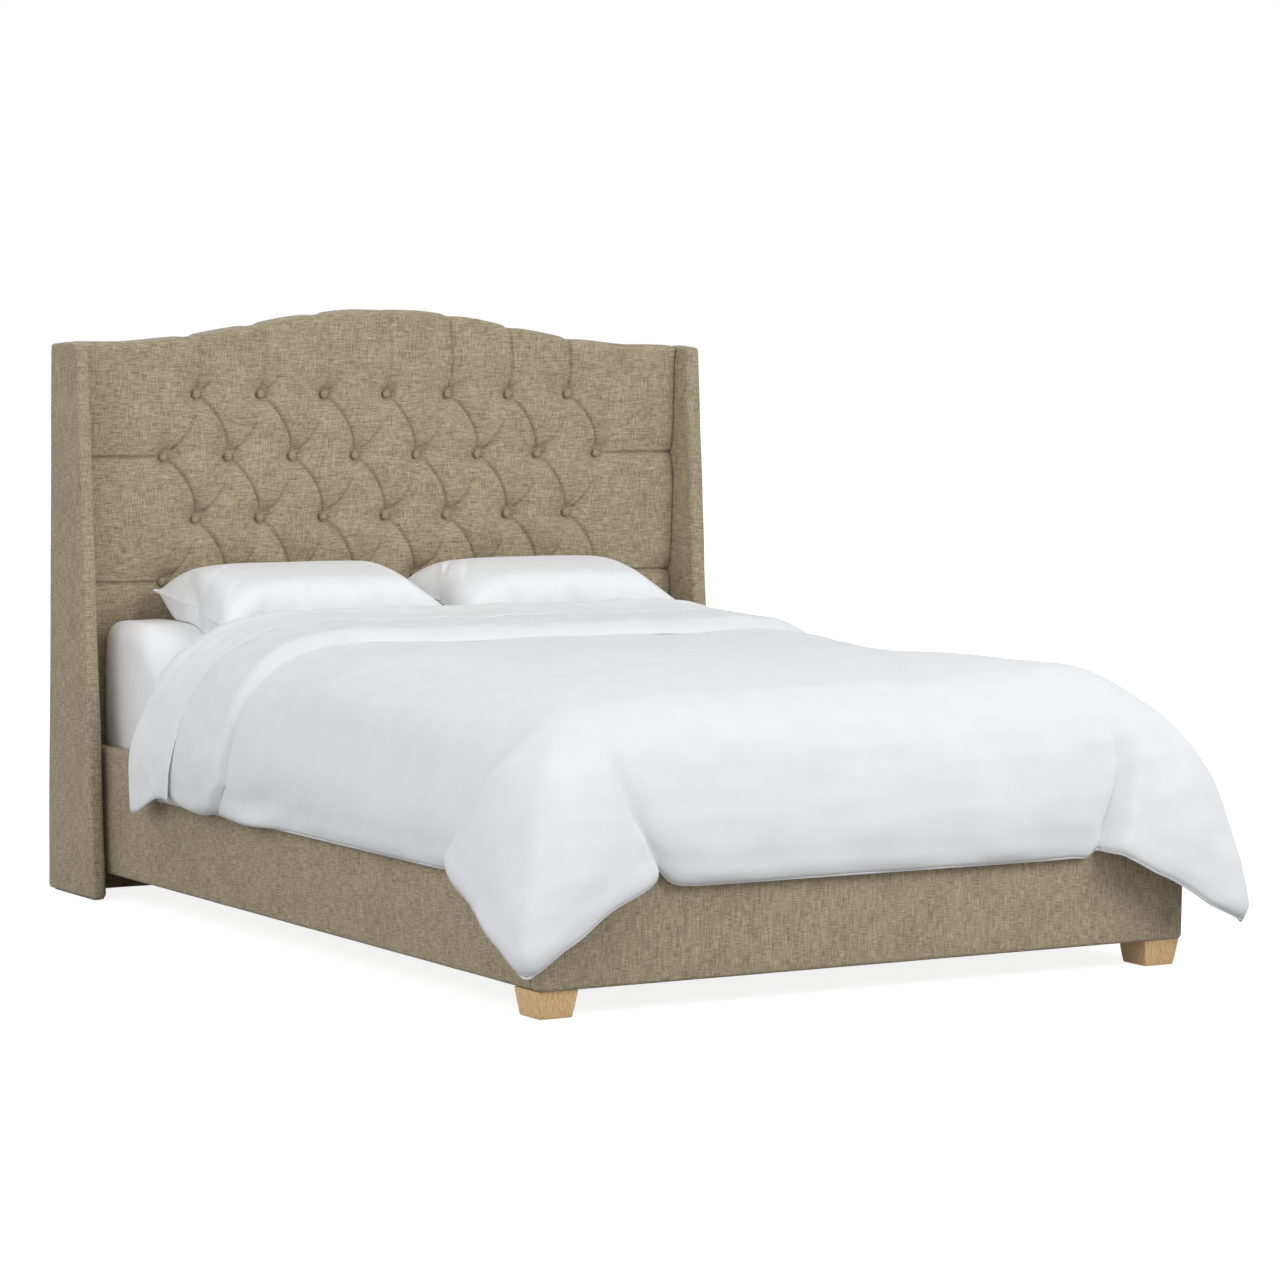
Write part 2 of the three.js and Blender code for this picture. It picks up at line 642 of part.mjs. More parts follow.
/** Centre beam, its hangers, its legs and their levellers. */
function addCentreSupport() {
  const head = headboardFace + 2 * SEAT + HANGER_THICKNESS;
  const foot = footRailInner - 2 * SEAT - HANGER_THICKNESS;
  piece('centre_beam', block([-BEAM_WIDTH / 2, -head, beamBottom], [BEAM_WIDTH / 2, -foot, beamTop]), pine);
  piece('beam_hanger_head', hanger(headboardFace, 1), zincSteel);
  piece('beam_hanger_foot', hanger(footRailInner, -1), zincSteel);
  for (let index = 1; index <= CENTRE_LEG_COUNT; index += 1) {
    addCentreLeg(index, -(head + ((foot - head) * index) / (CENTRE_LEG_COUNT + 1)));
  }
}

/** One centre leg with the screwed leveller in its foot. */
function addCentreLeg(index, y) {
  const half = CENTRE_LEG_WIDTH / 2;
  const leg = block([-half, y - half, legBottom], [half, y + half, beamBottom - SEAT]);
  const hole = bar(STEM_RADIUS + STEM_RUNNING_CLEARANCE, legBottom - PAST, stemHoleTop, 0, y);
  const stem = bar(STEM_RADIUS, stemBottom, stemTop, 0, y);
  const nut = bar(STEM_NUT_RADIUS, nutBottom, nutBottom + STEM_NUT_HEIGHT, 0, y, HEXAGON);
  const pad = new THREE.LatheGeometry([
    new THREE.Vector2(0, 0),
    new THREE.Vector2(LEVELLER_PAD_RADIUS, 0),
    new THREE.Vector2(LEVELLER_PAD_RADIUS, LEVELLER_PAD_RIM_HEIGHT),
    new THREE.Vector2(LEVELLER_PAD_NECK_RADIUS, LEVELLER_PAD_HEIGHT),
    new THREE.Vector2(0, LEVELLER_PAD_HEIGHT),
  ], ROUND_SIDES).rotateX(Math.PI / 2).translate(0, y, 0);
  piece(`centre_leg_${index}`, cut(leg, hole), pine);
  piece(`leveller_stem_${index}`, join(stem, nut), zincSteel);
  piece(`leveller_pad_${index}`, pad, blackNylon);
}

// ---------------------------------------------------------------- mattress and bedding

const mattressMiddle = -(mattressHead + mattressFoot) / 2;

/** How far the top lies below level at a place, `along` the bed from the headboard's back. */
function pressedAt(x, along) {
  const most = 1 + (railOuter - MATTRESS_WIDTH / 2) / MATTRESS_PRESS_REACH;
  const [side, foot] = [Math.abs(x) - MATTRESS_WIDTH / 2, along - mattressFoot].map((past) => (
    THREE.MathUtils.clamp(1 + past / MATTRESS_PRESS_REACH, 0, most) ** 2
  ));
  const power = MATTRESS_PRESS_CORNER;
  const head = THREE.MathUtils.smoothstep(along, PRESS_HEAD_START, PRESS_HEAD_END);
  return MATTRESS_PRESS * head * (side ** power + foot ** power) ** (1 / power);
}

/** Presses a point down with the top of the mattress: fully at its top, not at all at its base. */
function pressed(point) {
  const share = THREE.MathUtils.clamp((point.z - mattressBottom) / MATTRESS_THICKNESS, 0, 1);
  point.z -= pressedAt(point.x, -point.y) * share;
  return point;
}

/** Evenly spaced places from one to another, with both ends. */
function spaced(from, to, steps) {
  return Array.from({ length: steps + 1 }, (_, step) => from + ((to - from) * step) / steps);
}

/** Distances from the middle line where the flat top bends: everything on the mattress shares them. */
const bendsAcross = spaced(
  MATTRESS_WIDTH / 2 - MATTRESS_PRESS_REACH,
  MATTRESS_WIDTH / 2 - MATTRESS_EDGE_RADIUS,
  MATTRESS_PRESS_STEPS,
);
const bendsAtFoot = spaced(
  mattressFoot - MATTRESS_PRESS_REACH,
  mattressFoot - MATTRESS_EDGE_RADIUS,
  MATTRESS_PRESS_STEPS,
);

/** Lines of a rounded box along one axis: its bends, and the steps round both edges. */
function roundedLines(bends, radius) {
  const low = bends[0];
  const high = bends[bends.length - 1];
  return [
    ...spaced(low - radius, low, MATTRESS_EDGE_STEPS),
    ...bends.slice(1, -1),
    ...spaced(high, high + radius, MATTRESS_EDGE_STEPS),
  ];
}

/** The mattress as it lies under the bedding, grown by an even margin. */
function mattressBody(margin) {
  const radius = MATTRESS_EDGE_RADIUS + margin;
  const head = [mattressHead + MATTRESS_EDGE_RADIUS, ...spaced(PRESS_HEAD_START, PRESS_HEAD_END, PRESS_HEAD_STEPS)];
  const bends = [
    [...bendsAcross.map((bend) => -bend).reverse(), ...bendsAcross],
    [...head, ...bendsAtFoot].map((bend) => -bend).reverse(),
    [mattressBottom + MATTRESS_EDGE_RADIUS, mattressTop - MATTRESS_EDGE_RADIUS],
  ];
  const lines = bends.map((axis) => roundedLines(axis, radius));
  const low = new THREE.Vector3(...bends.map((axis) => axis[0]));
  const high = new THREE.Vector3(...bends.map((axis) => axis[axis.length - 1]));
  const geometry = new THREE.BoxGeometry(1, 1, 1, ...lines.map((axis) => axis.length - 1));
  const position = geometry.attributes.position;
  for (let index = 0; index < position.count; index += 1) {
    const place = [position.getX(index), position.getY(index), position.getZ(index)];
    const point = new THREE.Vector3(...place.map((share, axis) => (
      lines[axis][Math.round((share + 0.5) * (lines[axis].length - 1))]
    )));
    const core = point.clone().clamp(low, high);
    point.sub(core).setLength(radius).add(core);
    position.setXYZ(index, ...pressed(point));
  }
  geometry.computeVertexNormals();
  return geometry;
}

/** Mattress and the fitted sheet stretched over it. */
function addMattress() {
  const outside = SEAT + FITTED_SHEET_THICKNESS;
  const reach = MATTRESS_WIDTH + MATTRESS_LENGTH;
  const below = block(
    [-reach, mattressMiddle - reach, -PAST],
    [reach, mattressMiddle + reach, DECK_HEIGHT + FITTED_SHEET_TUCK],
  );
  piece('mattress', mattressBody(0), ticking);
  piece('fitted_sheet', cut(mattressBody(outside), mattressBody(SEAT), below), whiteCotton);
}

const flatHalf = MATTRESS_WIDTH / 2 - MATTRESS_EDGE_RADIUS + DRAPE_LEAD;
const drapeReach = railOuter + DRAPE_TO_RAIL - flatHalf;
const flatFoot = footRailOuter + DRAPE_TO_RAIL - drapeReach;
const shoulderArc = (Math.PI / 2) * Math.sqrt((drapeReach ** 2 + DRAPE_DROP ** 2) / 2);

/** How far cloth lies out from, and below, the flat top after running `run` past its edge. */
function drapeProfile(run) {
  if (run >= shoulderArc) {
    return { out: drapeReach, down: DRAPE_DROP + run - shoulderArc };
  }
  const angle = (Math.PI / 2) * (run / shoulderArc);
  return { out: drapeReach * Math.sin(angle), down: DRAPE_DROP * (1 - Math.cos(angle)) };
}

/** Lower face of the bedding: `across` and `along` are measured on the cloth. */
function drapedPoint(across, along) {
  const side = Math.max(Math.abs(across) - flatHalf, 0);
  const foot = Math.max(along - flatFoot, 0);
  const run = Math.hypot(side, foot);
  const angle = Math.atan2(foot, side);
  const { out, down } = drapeProfile(run);
  const rise = THREE.MathUtils.smoothstep(run, DRAPE_FLARE_START, shoulderArc + DRAPE_DROP);
  const flare = DRAPE_CORNER_FLARE * rise * Math.sin(2 * angle) ** 2;
  const x = Math.min(Math.abs(across), flatHalf) + (out + flare) * Math.cos(angle) * (side > 0 ? 1 : 0);
  const y = Math.min(along, flatFoot) + (out + flare) * Math.sin(angle) * (foot > 0 ? 1 : 0);
  return pressed(new THREE.Vector3(Math.sign(across) * x, -y, fittedTop - down));
}

/** A point of the bedding at a height above its lower face. */
function beddingPoint(across, along, height) {
  const near = 0.5;
  const alongCloth = drapedPoint(across, along + near).sub(drapedPoint(across, along - near));
  const acrossCloth = drapedPoint(across + near, along).sub(drapedPoint(across - near, along));
  const normal = alongCloth.cross(acrossCloth).normalize();
  return drapedPoint(across, along).addScaledVector(normal, height);
}

/** Runs past the flat edge: fine steps round the shoulder, then coarse ones down to the hem. */
function hangingRuns(hang, straightSteps) {
  const runs = [];
  for (let step = 1; step <= SHOULDER_STEPS; step += 1) {
    runs.push((shoulderArc * step) / SHOULDER_STEPS);
  }
  for (let step = 1; step <= straightSteps; step += 1) {
    runs.push(shoulderArc + ((hang - shoulderArc) * step) / straightSteps);
  }
  return runs;
}

/** Places across the cloth, from one hanging hem to the other. */
function acrossKnots(hang, straightSteps) {
  const runs = hangingRuns(hang, straightSteps);
  const right = [...bendsAcross, flatHalf, ...runs.map((run) => flatHalf + run)];
  return [...right.map((place) => -place).reverse(), ...right];
}

/** A closed cloth solid: a finely divided box whose points are sent to `place`, both faces split alike. */
function clothSolid(acrossCount, alongCount, place) {
  const geometry = new THREE.BoxGeometry(1, 1, 1, acrossCount, alongCount, 1);
  const position = geometry.attributes.position;
  for (let index = 0; index < position.count; index += 1) {
    const column = Math.round((position.getX(index) + 0.5) * acrossCount);
    const row = Math.round((0.5 - position.getY(index)) * alongCount);
    const point = place(column, row, position.getZ(index));
    position.setXYZ(index, point.x, point.y, point.z);
  }
  const { index, groups: { [5]: under } } = geometry;
  for (let at = under.start; at < under.start + under.count; at += 6) {
    const [a, b, c, d] = [0, 1, 4, 2].map((step) => index.getX(at + step));
    [a, b, c, a, c, d].forEach((corner, step) => index.setX(at + step, corner));
  }
  geometry.computeVertexNormals();
  return geometry;
}

/** Duvet over the mattress, hanging at both sides and the foot, its corners standing out. */
function addDuvet() {
  const across = acrossKnots(DUVET_HANG, DUVET_HANG_STEPS);
  const turnEnd = duvetHead + DUVET_TURN_LENGTH;
  const single = spaced(turnEnd + DUVET_TURN_FADE, bendsAtFoot[0], DUVET_ALONG_STEPS).slice(0, -1);
  const hanging = hangingRuns(DUVET_HANG, DUVET_HANG_STEPS).map((run) => flatFoot + run);
  const along = [
    duvetHead, (duvetHead + turnEnd) / 2, turnEnd, ...single, ...bendsAtFoot, flatFoot, ...hanging,
  ];
  piece('duvet', clothSolid(across.length - 1, along.length - 1, (column, row, side) => {
    const turned = along[row] > turnEnd ? 0 : DUVET_TURNED_BACK;
    return beddingPoint(across[column], along[row], side > 0 ? duvetOutside + turned : duvetInside);
  }), whiteCotton);
}

/** Flat sheet: under the duvet, round its head edge and turned down over it. */
function addFlatSheet() {
  const across = acrossKnots(SHEET_HANG, SHEET_HANG_STEPS);
  const section = [];
  for (let step = 0; step < SHEET_UNDERLAP_STEPS; step += 1) {
    section.push({ q: foldStart + SHEET_UNDERLAP * (1 - step / SHEET_UNDERLAP_STEPS), turn: 0 });
  }
  for (let step = 0; step <= SHEET_FOLD_STEPS; step += 1) {
    section.push({ q: foldStart, turn: (Math.PI * step) / SHEET_FOLD_STEPS });
  }
  for (let step = 1; step <= SHEET_TURN_DOWN_STEPS; step += 1) {
    section.push({ q: foldStart + (SHEET_TURN_DOWN * step) / SHEET_TURN_DOWN_STEPS, turn: Math.PI });
  }
  const whole = clothSolid(across.length - 1, section.length - 1, (column, row, side) => {
    const { q, turn } = section[row];
    const radius = foldRadius + Math.sign(side) * (FLAT_SHEET_THICKNESS / 2);
    const height = foldMiddle - radius * Math.cos(turn);
    return beddingPoint(across[column], q - radius * Math.sin(turn), height);
  });
  const hem = fittedTop - drapeProfile(DUVET_HANG).down;
  const tail = block(
    [-railOuter - drapeReach, -foldStart, 0],
    [railOuter + drapeReach, -foldStart - SHEET_UNDERLAP - PAST, hem + SHEET_TAIL_LIFT],
  );
  piece('flat_sheet', cut(whole, tail), whiteCotton);
}

/** One pillow, a filled bag with a thin seam all round. */
function pillow(middleX) {
  const columns = PILLOW_COLUMNS;
  const rows = PILLOW_ROWS;
  const middleY = -(pillowHead + PILLOW_WIDTH / 2);
  const seamHeight = fittedTop + SEAT + PILLOW_SINK;
  return clothSolid(columns, rows, (column, row, side) => {
    const u = (2 * column) / columns - 1;
    const v = (2 * row) / rows - 1;
    const fill = Math.sqrt((1 - Math.abs(u) ** PILLOW_CROWN) * (1 - Math.abs(v) ** PILLOW_CROWN));
    const seam = PILLOW_SEAM / 2;
    const height = side > 0 ? seam + (PILLOW_RISE - seam) * fill : -seam - (PILLOW_SINK - seam) * fill;
    return new THREE.Vector3(
      middleX + (u * PILLOW_LENGTH) / 2,
      middleY - (v * PILLOW_WIDTH) / 2,
      seamHeight + height,
    );
  });
}

/** Two pillows side by side at the head. */
function addPillows() {
  pair('pillow', pillow(PILLOW_GAP + PILLOW_LENGTH / 2), whiteCotton);
}

// ---------------------------------------------------------------- the bed

addHeadboardFrame();
addHeadboardLayers();
addHeadboardCover();
addButtons();
addWings();
addSideRails();
addFootRail();
addFeet();
addBrackets();
addSlats();
addCentreSupport();
addMattress();
addFlatSheet();
addDuvet();
addPillows();

const outerBox = new THREE.Box3().setFromObject(bed, true);
const bedMiddle = outerBox.getCenter(new THREE.Vector3());
bed.position.set(0, -bedMiddle.y, 0);

export default bed;
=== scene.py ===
"""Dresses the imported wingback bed: tufted linen headboard, padded rails, mattress and bedding.

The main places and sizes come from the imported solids. Soft pieces are built here as dense surfaces
and stand for the solids they cover. Timber, steel and nylon keep their solids and get their
finishes. Lengths are metres, and millimetres where a name ends in _mm.
"""

import json
import logging
import math
from dataclasses import dataclass, field
from enum import Enum
from typing import Iterable, Mapping, Sequence

import bmesh
import bpy
import numpy as np
from mathutils import Matrix, Vector

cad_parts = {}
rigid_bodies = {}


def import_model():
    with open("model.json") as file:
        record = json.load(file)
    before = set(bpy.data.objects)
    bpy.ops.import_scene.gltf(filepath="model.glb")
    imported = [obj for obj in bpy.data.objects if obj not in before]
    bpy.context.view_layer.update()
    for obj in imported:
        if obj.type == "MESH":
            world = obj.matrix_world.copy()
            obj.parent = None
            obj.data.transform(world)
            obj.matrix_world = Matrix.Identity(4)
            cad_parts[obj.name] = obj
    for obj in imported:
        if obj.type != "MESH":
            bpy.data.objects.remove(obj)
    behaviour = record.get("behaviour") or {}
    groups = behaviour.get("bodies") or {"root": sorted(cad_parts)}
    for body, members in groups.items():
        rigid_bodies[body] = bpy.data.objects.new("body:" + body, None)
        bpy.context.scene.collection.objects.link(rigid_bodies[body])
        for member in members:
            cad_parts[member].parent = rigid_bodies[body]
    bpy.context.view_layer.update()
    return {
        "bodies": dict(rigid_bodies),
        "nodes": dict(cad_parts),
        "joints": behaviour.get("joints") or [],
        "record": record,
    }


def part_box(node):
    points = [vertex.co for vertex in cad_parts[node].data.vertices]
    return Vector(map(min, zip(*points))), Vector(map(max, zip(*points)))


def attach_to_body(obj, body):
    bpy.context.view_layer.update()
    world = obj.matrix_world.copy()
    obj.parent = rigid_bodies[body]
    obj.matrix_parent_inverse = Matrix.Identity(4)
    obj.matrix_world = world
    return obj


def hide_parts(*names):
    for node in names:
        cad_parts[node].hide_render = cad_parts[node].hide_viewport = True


LOG = logging.getLogger("bed")
MM = 0.001
SIDES = (("left", -1), ("right", 1))

Point = tuple[float, float]
Faces = Iterable[Sequence[int]]
Tree = bpy.types.NodeTree
Socket = bpy.types.NodeSocket


# ------------------------------------------------------------------ numbers


def linear(hex_colour: str) -> tuple[float, float, float, float]:
    """Turns an sRGB hex colour into linear light.

    Args:
        hex_colour: Six hex digits after a hash.

    Returns:
        Red, green, blue and a full alpha.
    """
    parts = [int(hex_colour[i : i + 2], 16) / 255 for i in (1, 3, 5)]
    red, green, blue = (p / 12.92 if p <= 0.04045 else ((p + 0.055) / 1.055) ** 2.4 for p in parts)
    return red, green, blue, 1.0


def ease(value: np.ndarray, low: float, high: float) -> np.ndarray:
    """Rises smoothly from 0 at low to 1 at high."""
    share = np.clip((value - low) / (high - low), 0, 1)
    return share * share * (3 - 2 * share)


def bump(value: np.ndarray, middle: float | np.ndarray, reach: float | np.ndarray) -> np.ndarray:
    """A smooth bump, 1 at its middle and about a third at its reach."""
    return np.exp(-(((value - middle) / reach) ** 2))


def quarter_round(share: np.ndarray) -> np.ndarray:
    """Rises as a quarter circle."""
    return np.sqrt(1 - (1 - np.clip(share, 0, 1)) ** 2)


def unit(vectors: np.ndarray) -> np.ndarray:
    """Scales vectors to length 1."""
    return vectors / np.maximum(np.linalg.norm(vectors, axis=-1, keepdims=True), 1e-12)


def run_along(points: np.ndarray) -> np.ndarray:
    """Measures a line from its start."""
    return np.r_[0, np.cumsum(np.linalg.norm(np.diff(points, axis=0), axis=1))]


def ripple(u: np.ndarray, v: np.ndarray, wavelength: float, seed: int) -> np.ndarray:
    """Uneven gentle waves, the same on each run.

    Args:
        u: First coordinate on the cloth.
        v: Second coordinate on the cloth.
        wavelength: Usual length of a wave.
        seed: Picks the waves.

    Returns:
        Heights of about -1 to 1.
    """
    chance = np.random.default_rng(seed)
    total = np.zeros(np.broadcast(u, v).shape)
    for _ in range(10):
        heading, phase = chance.uniform(0, 2 * math.pi, 2)
        length = wavelength * chance.uniform(0.6, 1.7)
        run = u * math.cos(heading) + v * math.sin(heading)
        total += np.cos(2 * math.pi * run / length + phase)
    return total / 4


def spline(knots: Sequence[float], values: np.ndarray, at: np.ndarray) -> np.ndarray:
    """Smooth curve through guide values.

    Args:
        knots: Rising places of the guides.
        values: One guide for each knot, of any shape.
        at: Places to read.

    Returns:
        The curve at each place.
    """
    knots, values, at = np.asarray(knots, float), np.asarray(values, float), np.asarray(at, float)
    slopes = np.gradient(values, knots, axis=0)
    index = np.clip(np.searchsorted(knots, at, side="right") - 1, 0, len(knots) - 2)
    shape = (-1,) + (1,) * (values.ndim - 1)
    width = (knots[index + 1] - knots[index]).reshape(shape)
    t = ((at - knots[index]).reshape(shape)) / width
    return (
        (2 * t**3 - 3 * t**2 + 1) * values[index]
        + (t**3 - 2 * t**2 + t) * width * slopes[index]
        + (3 * t**2 - 2 * t**3) * values[index + 1]
        + (t**3 - t**2) * width * slopes[index + 1]
    )


def evenly(points: np.ndarray, count: int) -> np.ndarray:
    """Spaces a smooth curve through points evenly.

    Args:
        points: Guide points in order.
        count: How many points to return.

    Returns:
        The points of the curve, the same distance apart.
    """
    points = np.asarray(points, float)
    chord = run_along(points)
    fine = spline(chord, points, np.linspace(0, chord[-1], 400))
    run = run_along(fine)
    want = np.linspace(0, run[-1], count)
    return np.stack([np.interp(want, run, fine[:, k]) for k in range(points.shape[1])], axis=1)


# ------------------------------------------------------------------ meshes


def quads(index: np.ndarray) -> np.ndarray:
    """Quads between neighbours."""
    corners = index[:-1, :-1], index[:-1, 1:], index[1:, 1:], index[1:, :-1]
    return np.stack([c.ravel() for c in corners], axis=1)


def grid_faces(rows: int, columns: int, start: int = 0, wrap: bool = False) -> np.ndarray:
    """Quads over a grid of points stored row by row."""
    index = start + np.arange(rows * columns).reshape(rows, columns)
    return quads(np.concatenate([index, index[:, :1]], axis=1) if wrap else index)


def grid_normals(points: np.ndarray) -> np.ndarray:
    """Unit normals of a grid of points, along columns x rows."""
    return unit(np.cross(np.gradient(points, axis=1), np.gradient(points, axis=0)))


def rim_of(grid: np.ndarray) -> np.ndarray:
    """What lies round the edge of a grid."""
    return np.concatenate([grid[0, :-1], grid[:-1, -1], grid[-1, :0:-1], grid[:0:-1, 0]])


def link(name: str, data: bpy.types.ID) -> bpy.types.Object:
    """Puts a mesh, lamp or camera into the scene.

    Args:
        name: Name of the object.
        data: What it shows.

    Returns:
        The new object.
    """
    made = bpy.data.objects.new(name, data)
    bpy.context.scene.collection.objects.link(made)
    return made


def link_mesh(name: str, points: np.ndarray, faces: Faces) -> bpy.types.Object:
    """Puts a new mesh into the scene.

    Args:
        name: Name of the mesh and its object.
        points: All points, n x 3.
        faces: Point indices of each face.

    Returns:
        The new object.
    """
    mesh = bpy.data.meshes.new(name)
    rows = np.asarray(points, float).reshape(-1, 3).tolist()
    mesh.from_pydata(rows, [], [list(map(int, face)) for face in faces])
    return link(name, mesh)


def make_piece(
    name: str, points: np.ndarray, faces: Faces, finish: "Finish", crease_deg: float = 180
) -> bpy.types.Object:
    """Makes one closed or open mesh piece with its finish.

    Args:
        name: Name of the piece.
        points: All points, n x 3.
        faces: Point indices of each face.
        finish: What it is made of.
        crease_deg: Edges sharper than this are left crisp.

    Returns:
        The new object, linked to the scene.
    """
    made = link_mesh(name, points, faces)
    mesh = made.data
    work = bmesh.new()
    work.from_mesh(mesh)
    bmesh.ops.remove_doubles(work, verts=work.verts, dist=1e-6)
    bmesh.ops.recalc_face_normals(work, faces=work.faces)
    work.to_mesh(mesh)
    work.free()
    mesh.shade_smooth()
    if crease_deg < 180:
        mesh.set_sharp_from_angle(angle=math.radians(crease_deg))
    mesh.materials.append(finish.material())
    return made


def shell(outer: np.ndarray, inner: np.ndarray) -> tuple[np.ndarray, np.ndarray]:
    """Closes the space between two grids of the same size.

    Args:
        outer: Rows x columns x 3.
        inner: Rows x columns x 3.

    Returns:
        Points and quads of the closed shell.
    """
    rows, columns = outer.shape[:2]
    size = rows * columns
    rim = rim_of(np.arange(size).reshape(rows, columns))
    after = np.roll(rim, -1)
    sides = np.stack([rim, after, after + size, rim + size], axis=1)
    faces = np.concatenate([grid_faces(rows, columns), grid_faces(rows, columns, size)[:, ::-1], sides])
    return np.concatenate([outer.reshape(-1, 3), inner.reshape(-1, 3)]), faces


def capped(rings: np.ndarray) -> tuple[np.ndarray, list[list[int]]]:
    """Joins rings of points side by side, with a face over each end.

    Args:
        rings: Rings x points x 3.

    Returns:
        Points and faces.
    """
    rings = np.asarray(rings, float)
    index = np.arange(rings.shape[0] * rings.shape[1]).reshape(rings.shape[:2])
    faces = grid_faces(*index.shape, wrap=True).tolist()
    return rings.reshape(-1, 3), faces + [index[0].tolist(), index[-1].tolist()]


def tube(path: np.ndarray, radius: float, closed: bool = False, sides: int = 7) -> tuple[np.ndarray, Faces]:
    """A round welt along a path.

    Args:
        path: Points of its middle line, n x 3.
        radius: Radius of the welt.
        closed: Whether the path is a loop.
        sides: Facets round it.

    Returns:
        Points and faces.
    """
    path = np.asarray(path, float)
    ahead = np.roll(path, -1, axis=0) - np.roll(path, 1, axis=0) if closed else np.gradient(path, axis=0)
    ahead = unit(ahead)
    side = np.cross(ahead[0], [0.31, 0.17, 0.93])  # any direction that no path here starts along
    sides_at = []
    for direction in ahead:
        side = unit(side - direction * (side @ direction))
        sides_at.append(side)
    first = np.array(sides_at)
    second = np.cross(ahead, first)
    turn = 2 * math.pi * np.arange(sides) / sides
    ring = np.cos(turn)[None, :, None] * first[:, None] + np.sin(turn)[None, :, None] * second[:, None]
    points = path[:, None] + radius * ring
    if not closed:
        return capped(points)
    points = np.concatenate([points, points[:1]])
    return points.reshape(-1, 3), grid_faces(len(points), sides, wrap=True)


def joined(parts: Sequence[tuple[np.ndarray, Faces]]) -> tuple[np.ndarray, list[list[int]]]:
    """Puts several meshes into one.

    Args:
        parts: Points and faces of each.

    Returns:
        Points and faces of all.
    """
    points, faces, start = [], [], 0
    for part_points, part_faces in parts:
        points.append(np.asarray(part_points, float).reshape(-1, 3))
        faces += [[int(i) + start for i in face] for face in part_faces]
        start += len(points[-1])
    return np.concatenate(points), faces


# ------------------------------------------------------------------ finishes


def add_node(
    tree: Tree,
    kind: str,
    settings: Mapping[str | int, object] | None = None,
    links: Mapping[str | int, Socket] | None = None,
) -> bpy.types.Node:
    """Adds a node with its settings and links.

    Args:
        tree: Where it goes.
        kind: Blender's name for the node type.
        settings: Value of each property or input socket.
        links: What feeds each input socket.

    Returns:
        The new node.
    """
    node = tree.nodes.new(kind)
    for key, value in (settings or {}).items():
        if isinstance(key, str) and hasattr(node, key):
            setattr(node, key, value)
        else:
            node.inputs[key].default_value = value
    for key, socket in (links or {}).items():
        tree.links.new(socket, node.inputs[key])
    return node


def worked_out(tree: Tree, operation: str, *values: float | Socket) -> Socket:
    """Adds a node that works out a number.

    Args:
        tree: Where it goes.
        operation: Blender's name for the sum.
        *values: A number or a socket for each input, in order.

    Returns:
        The result's socket.
    """
    numbers = {place: value for place, value in enumerate(values) if isinstance(value, (int, float))}
    sockets = {place: value for place, value in enumerate(values) if place not in numbers}
    return add_node(tree, "ShaderNodeMath", {"operation": operation, **numbers}, sockets).outputs[0]


def cleared(data: bpy.types.Material | bpy.types.World) -> Tree:
    """Empties the nodes of a material or a world.

    Args:
        data: The material or world.

    Returns:
        Its empty node tree.
    """
    data.use_nodes = True
    data.node_tree.nodes.clear()
    return data.node_tree


def per_metre(*sizes_mm: float) -> tuple[float, ...]:
    """Finds the texture scale that makes a pattern repeat at each size."""
    return tuple(1 / (size * MM) for size in sizes_mm)


@dataclass(frozen=True)
class Surface:
    """The nodes of one material while its finish is drawn."""

    tree: Tree
    shader: bpy.types.Node
    place: Socket

    def noise(self, sizes_mm: Sequence[float], detail: float = 1, roughness: float = 0.5) -> Socket:
        """Uneven pattern with its own size along each axis.

        Args:
            sizes_mm: Size of a speck along x, y and z.
            detail: Finer layers on top.
            roughness: Strength of the finer layers.

        Returns:
            A value around 0.5.
        """
        scale = {"Scale": per_metre(*sizes_mm)}
        scaled = add_node(self.tree, "ShaderNodeMapping", scale, {"Vector": self.place})
        settings = {"Scale": 1.0, "Detail": detail, "Roughness": roughness}
        return add_node(self.tree, "ShaderNodeTexNoise", settings, {"Vector": scaled.outputs[0]}).outputs[0]

    def combine(self, *terms: tuple[Socket, float]) -> Socket:
        """Adds values, each with its weight.

        Args:
            *terms: Value and weight of each.

        Returns:
            Their weighted sum.
        """
        total: float | Socket = 0.0
        for socket, weight in terms:
            total = worked_out(self.tree, "MULTIPLY_ADD", socket, weight, total)
        return total

    def stretch(self, value: Socket, low: float, high: float) -> Socket:
        """Spreads values between low and high over 0 to 1."""
        settings = {"From Min": low, "From Max": high, "clamp": True}
        return add_node(self.tree, "ShaderNodeMapRange", settings, {"Value": value}).outputs[0]

    def paint(self, share: Socket, first: str, second: str) -> None:
        """Colours the surface between two colours.

        Args:
            share: 0 for the first colour and 1 for the second.
            first: Hex colour.
            second: Hex colour.
        """
        colours = {"data_type": "RGBA", 6: linear(first), 7: linear(second)}
        mix = add_node(self.tree, "ShaderNodeMix", colours, {0: share})
        self.tree.links.new(mix.outputs[2], self.shader.inputs["Base Color"])

    def press(self, height: Socket, depth_mm: float) -> None:
        """Uses a height as the surface's relief.

        Args:
            height: The height, as a share.
            depth_mm: Depth of a height of 1.
        """
        settings = {"Strength": 1.0, "Distance": depth_mm * MM}
        relief = add_node(self.tree, "ShaderNodeBump", settings, {"Height": height})
        self.tree.links.new(relief.outputs[0], self.shader.inputs["Normal"])

    def shine(self, **values: float) -> None:
        """Sets the shader's plain inputs."""
        for name, value in values.items():
            self.shader.inputs[name.replace("_", " ")].default_value = value


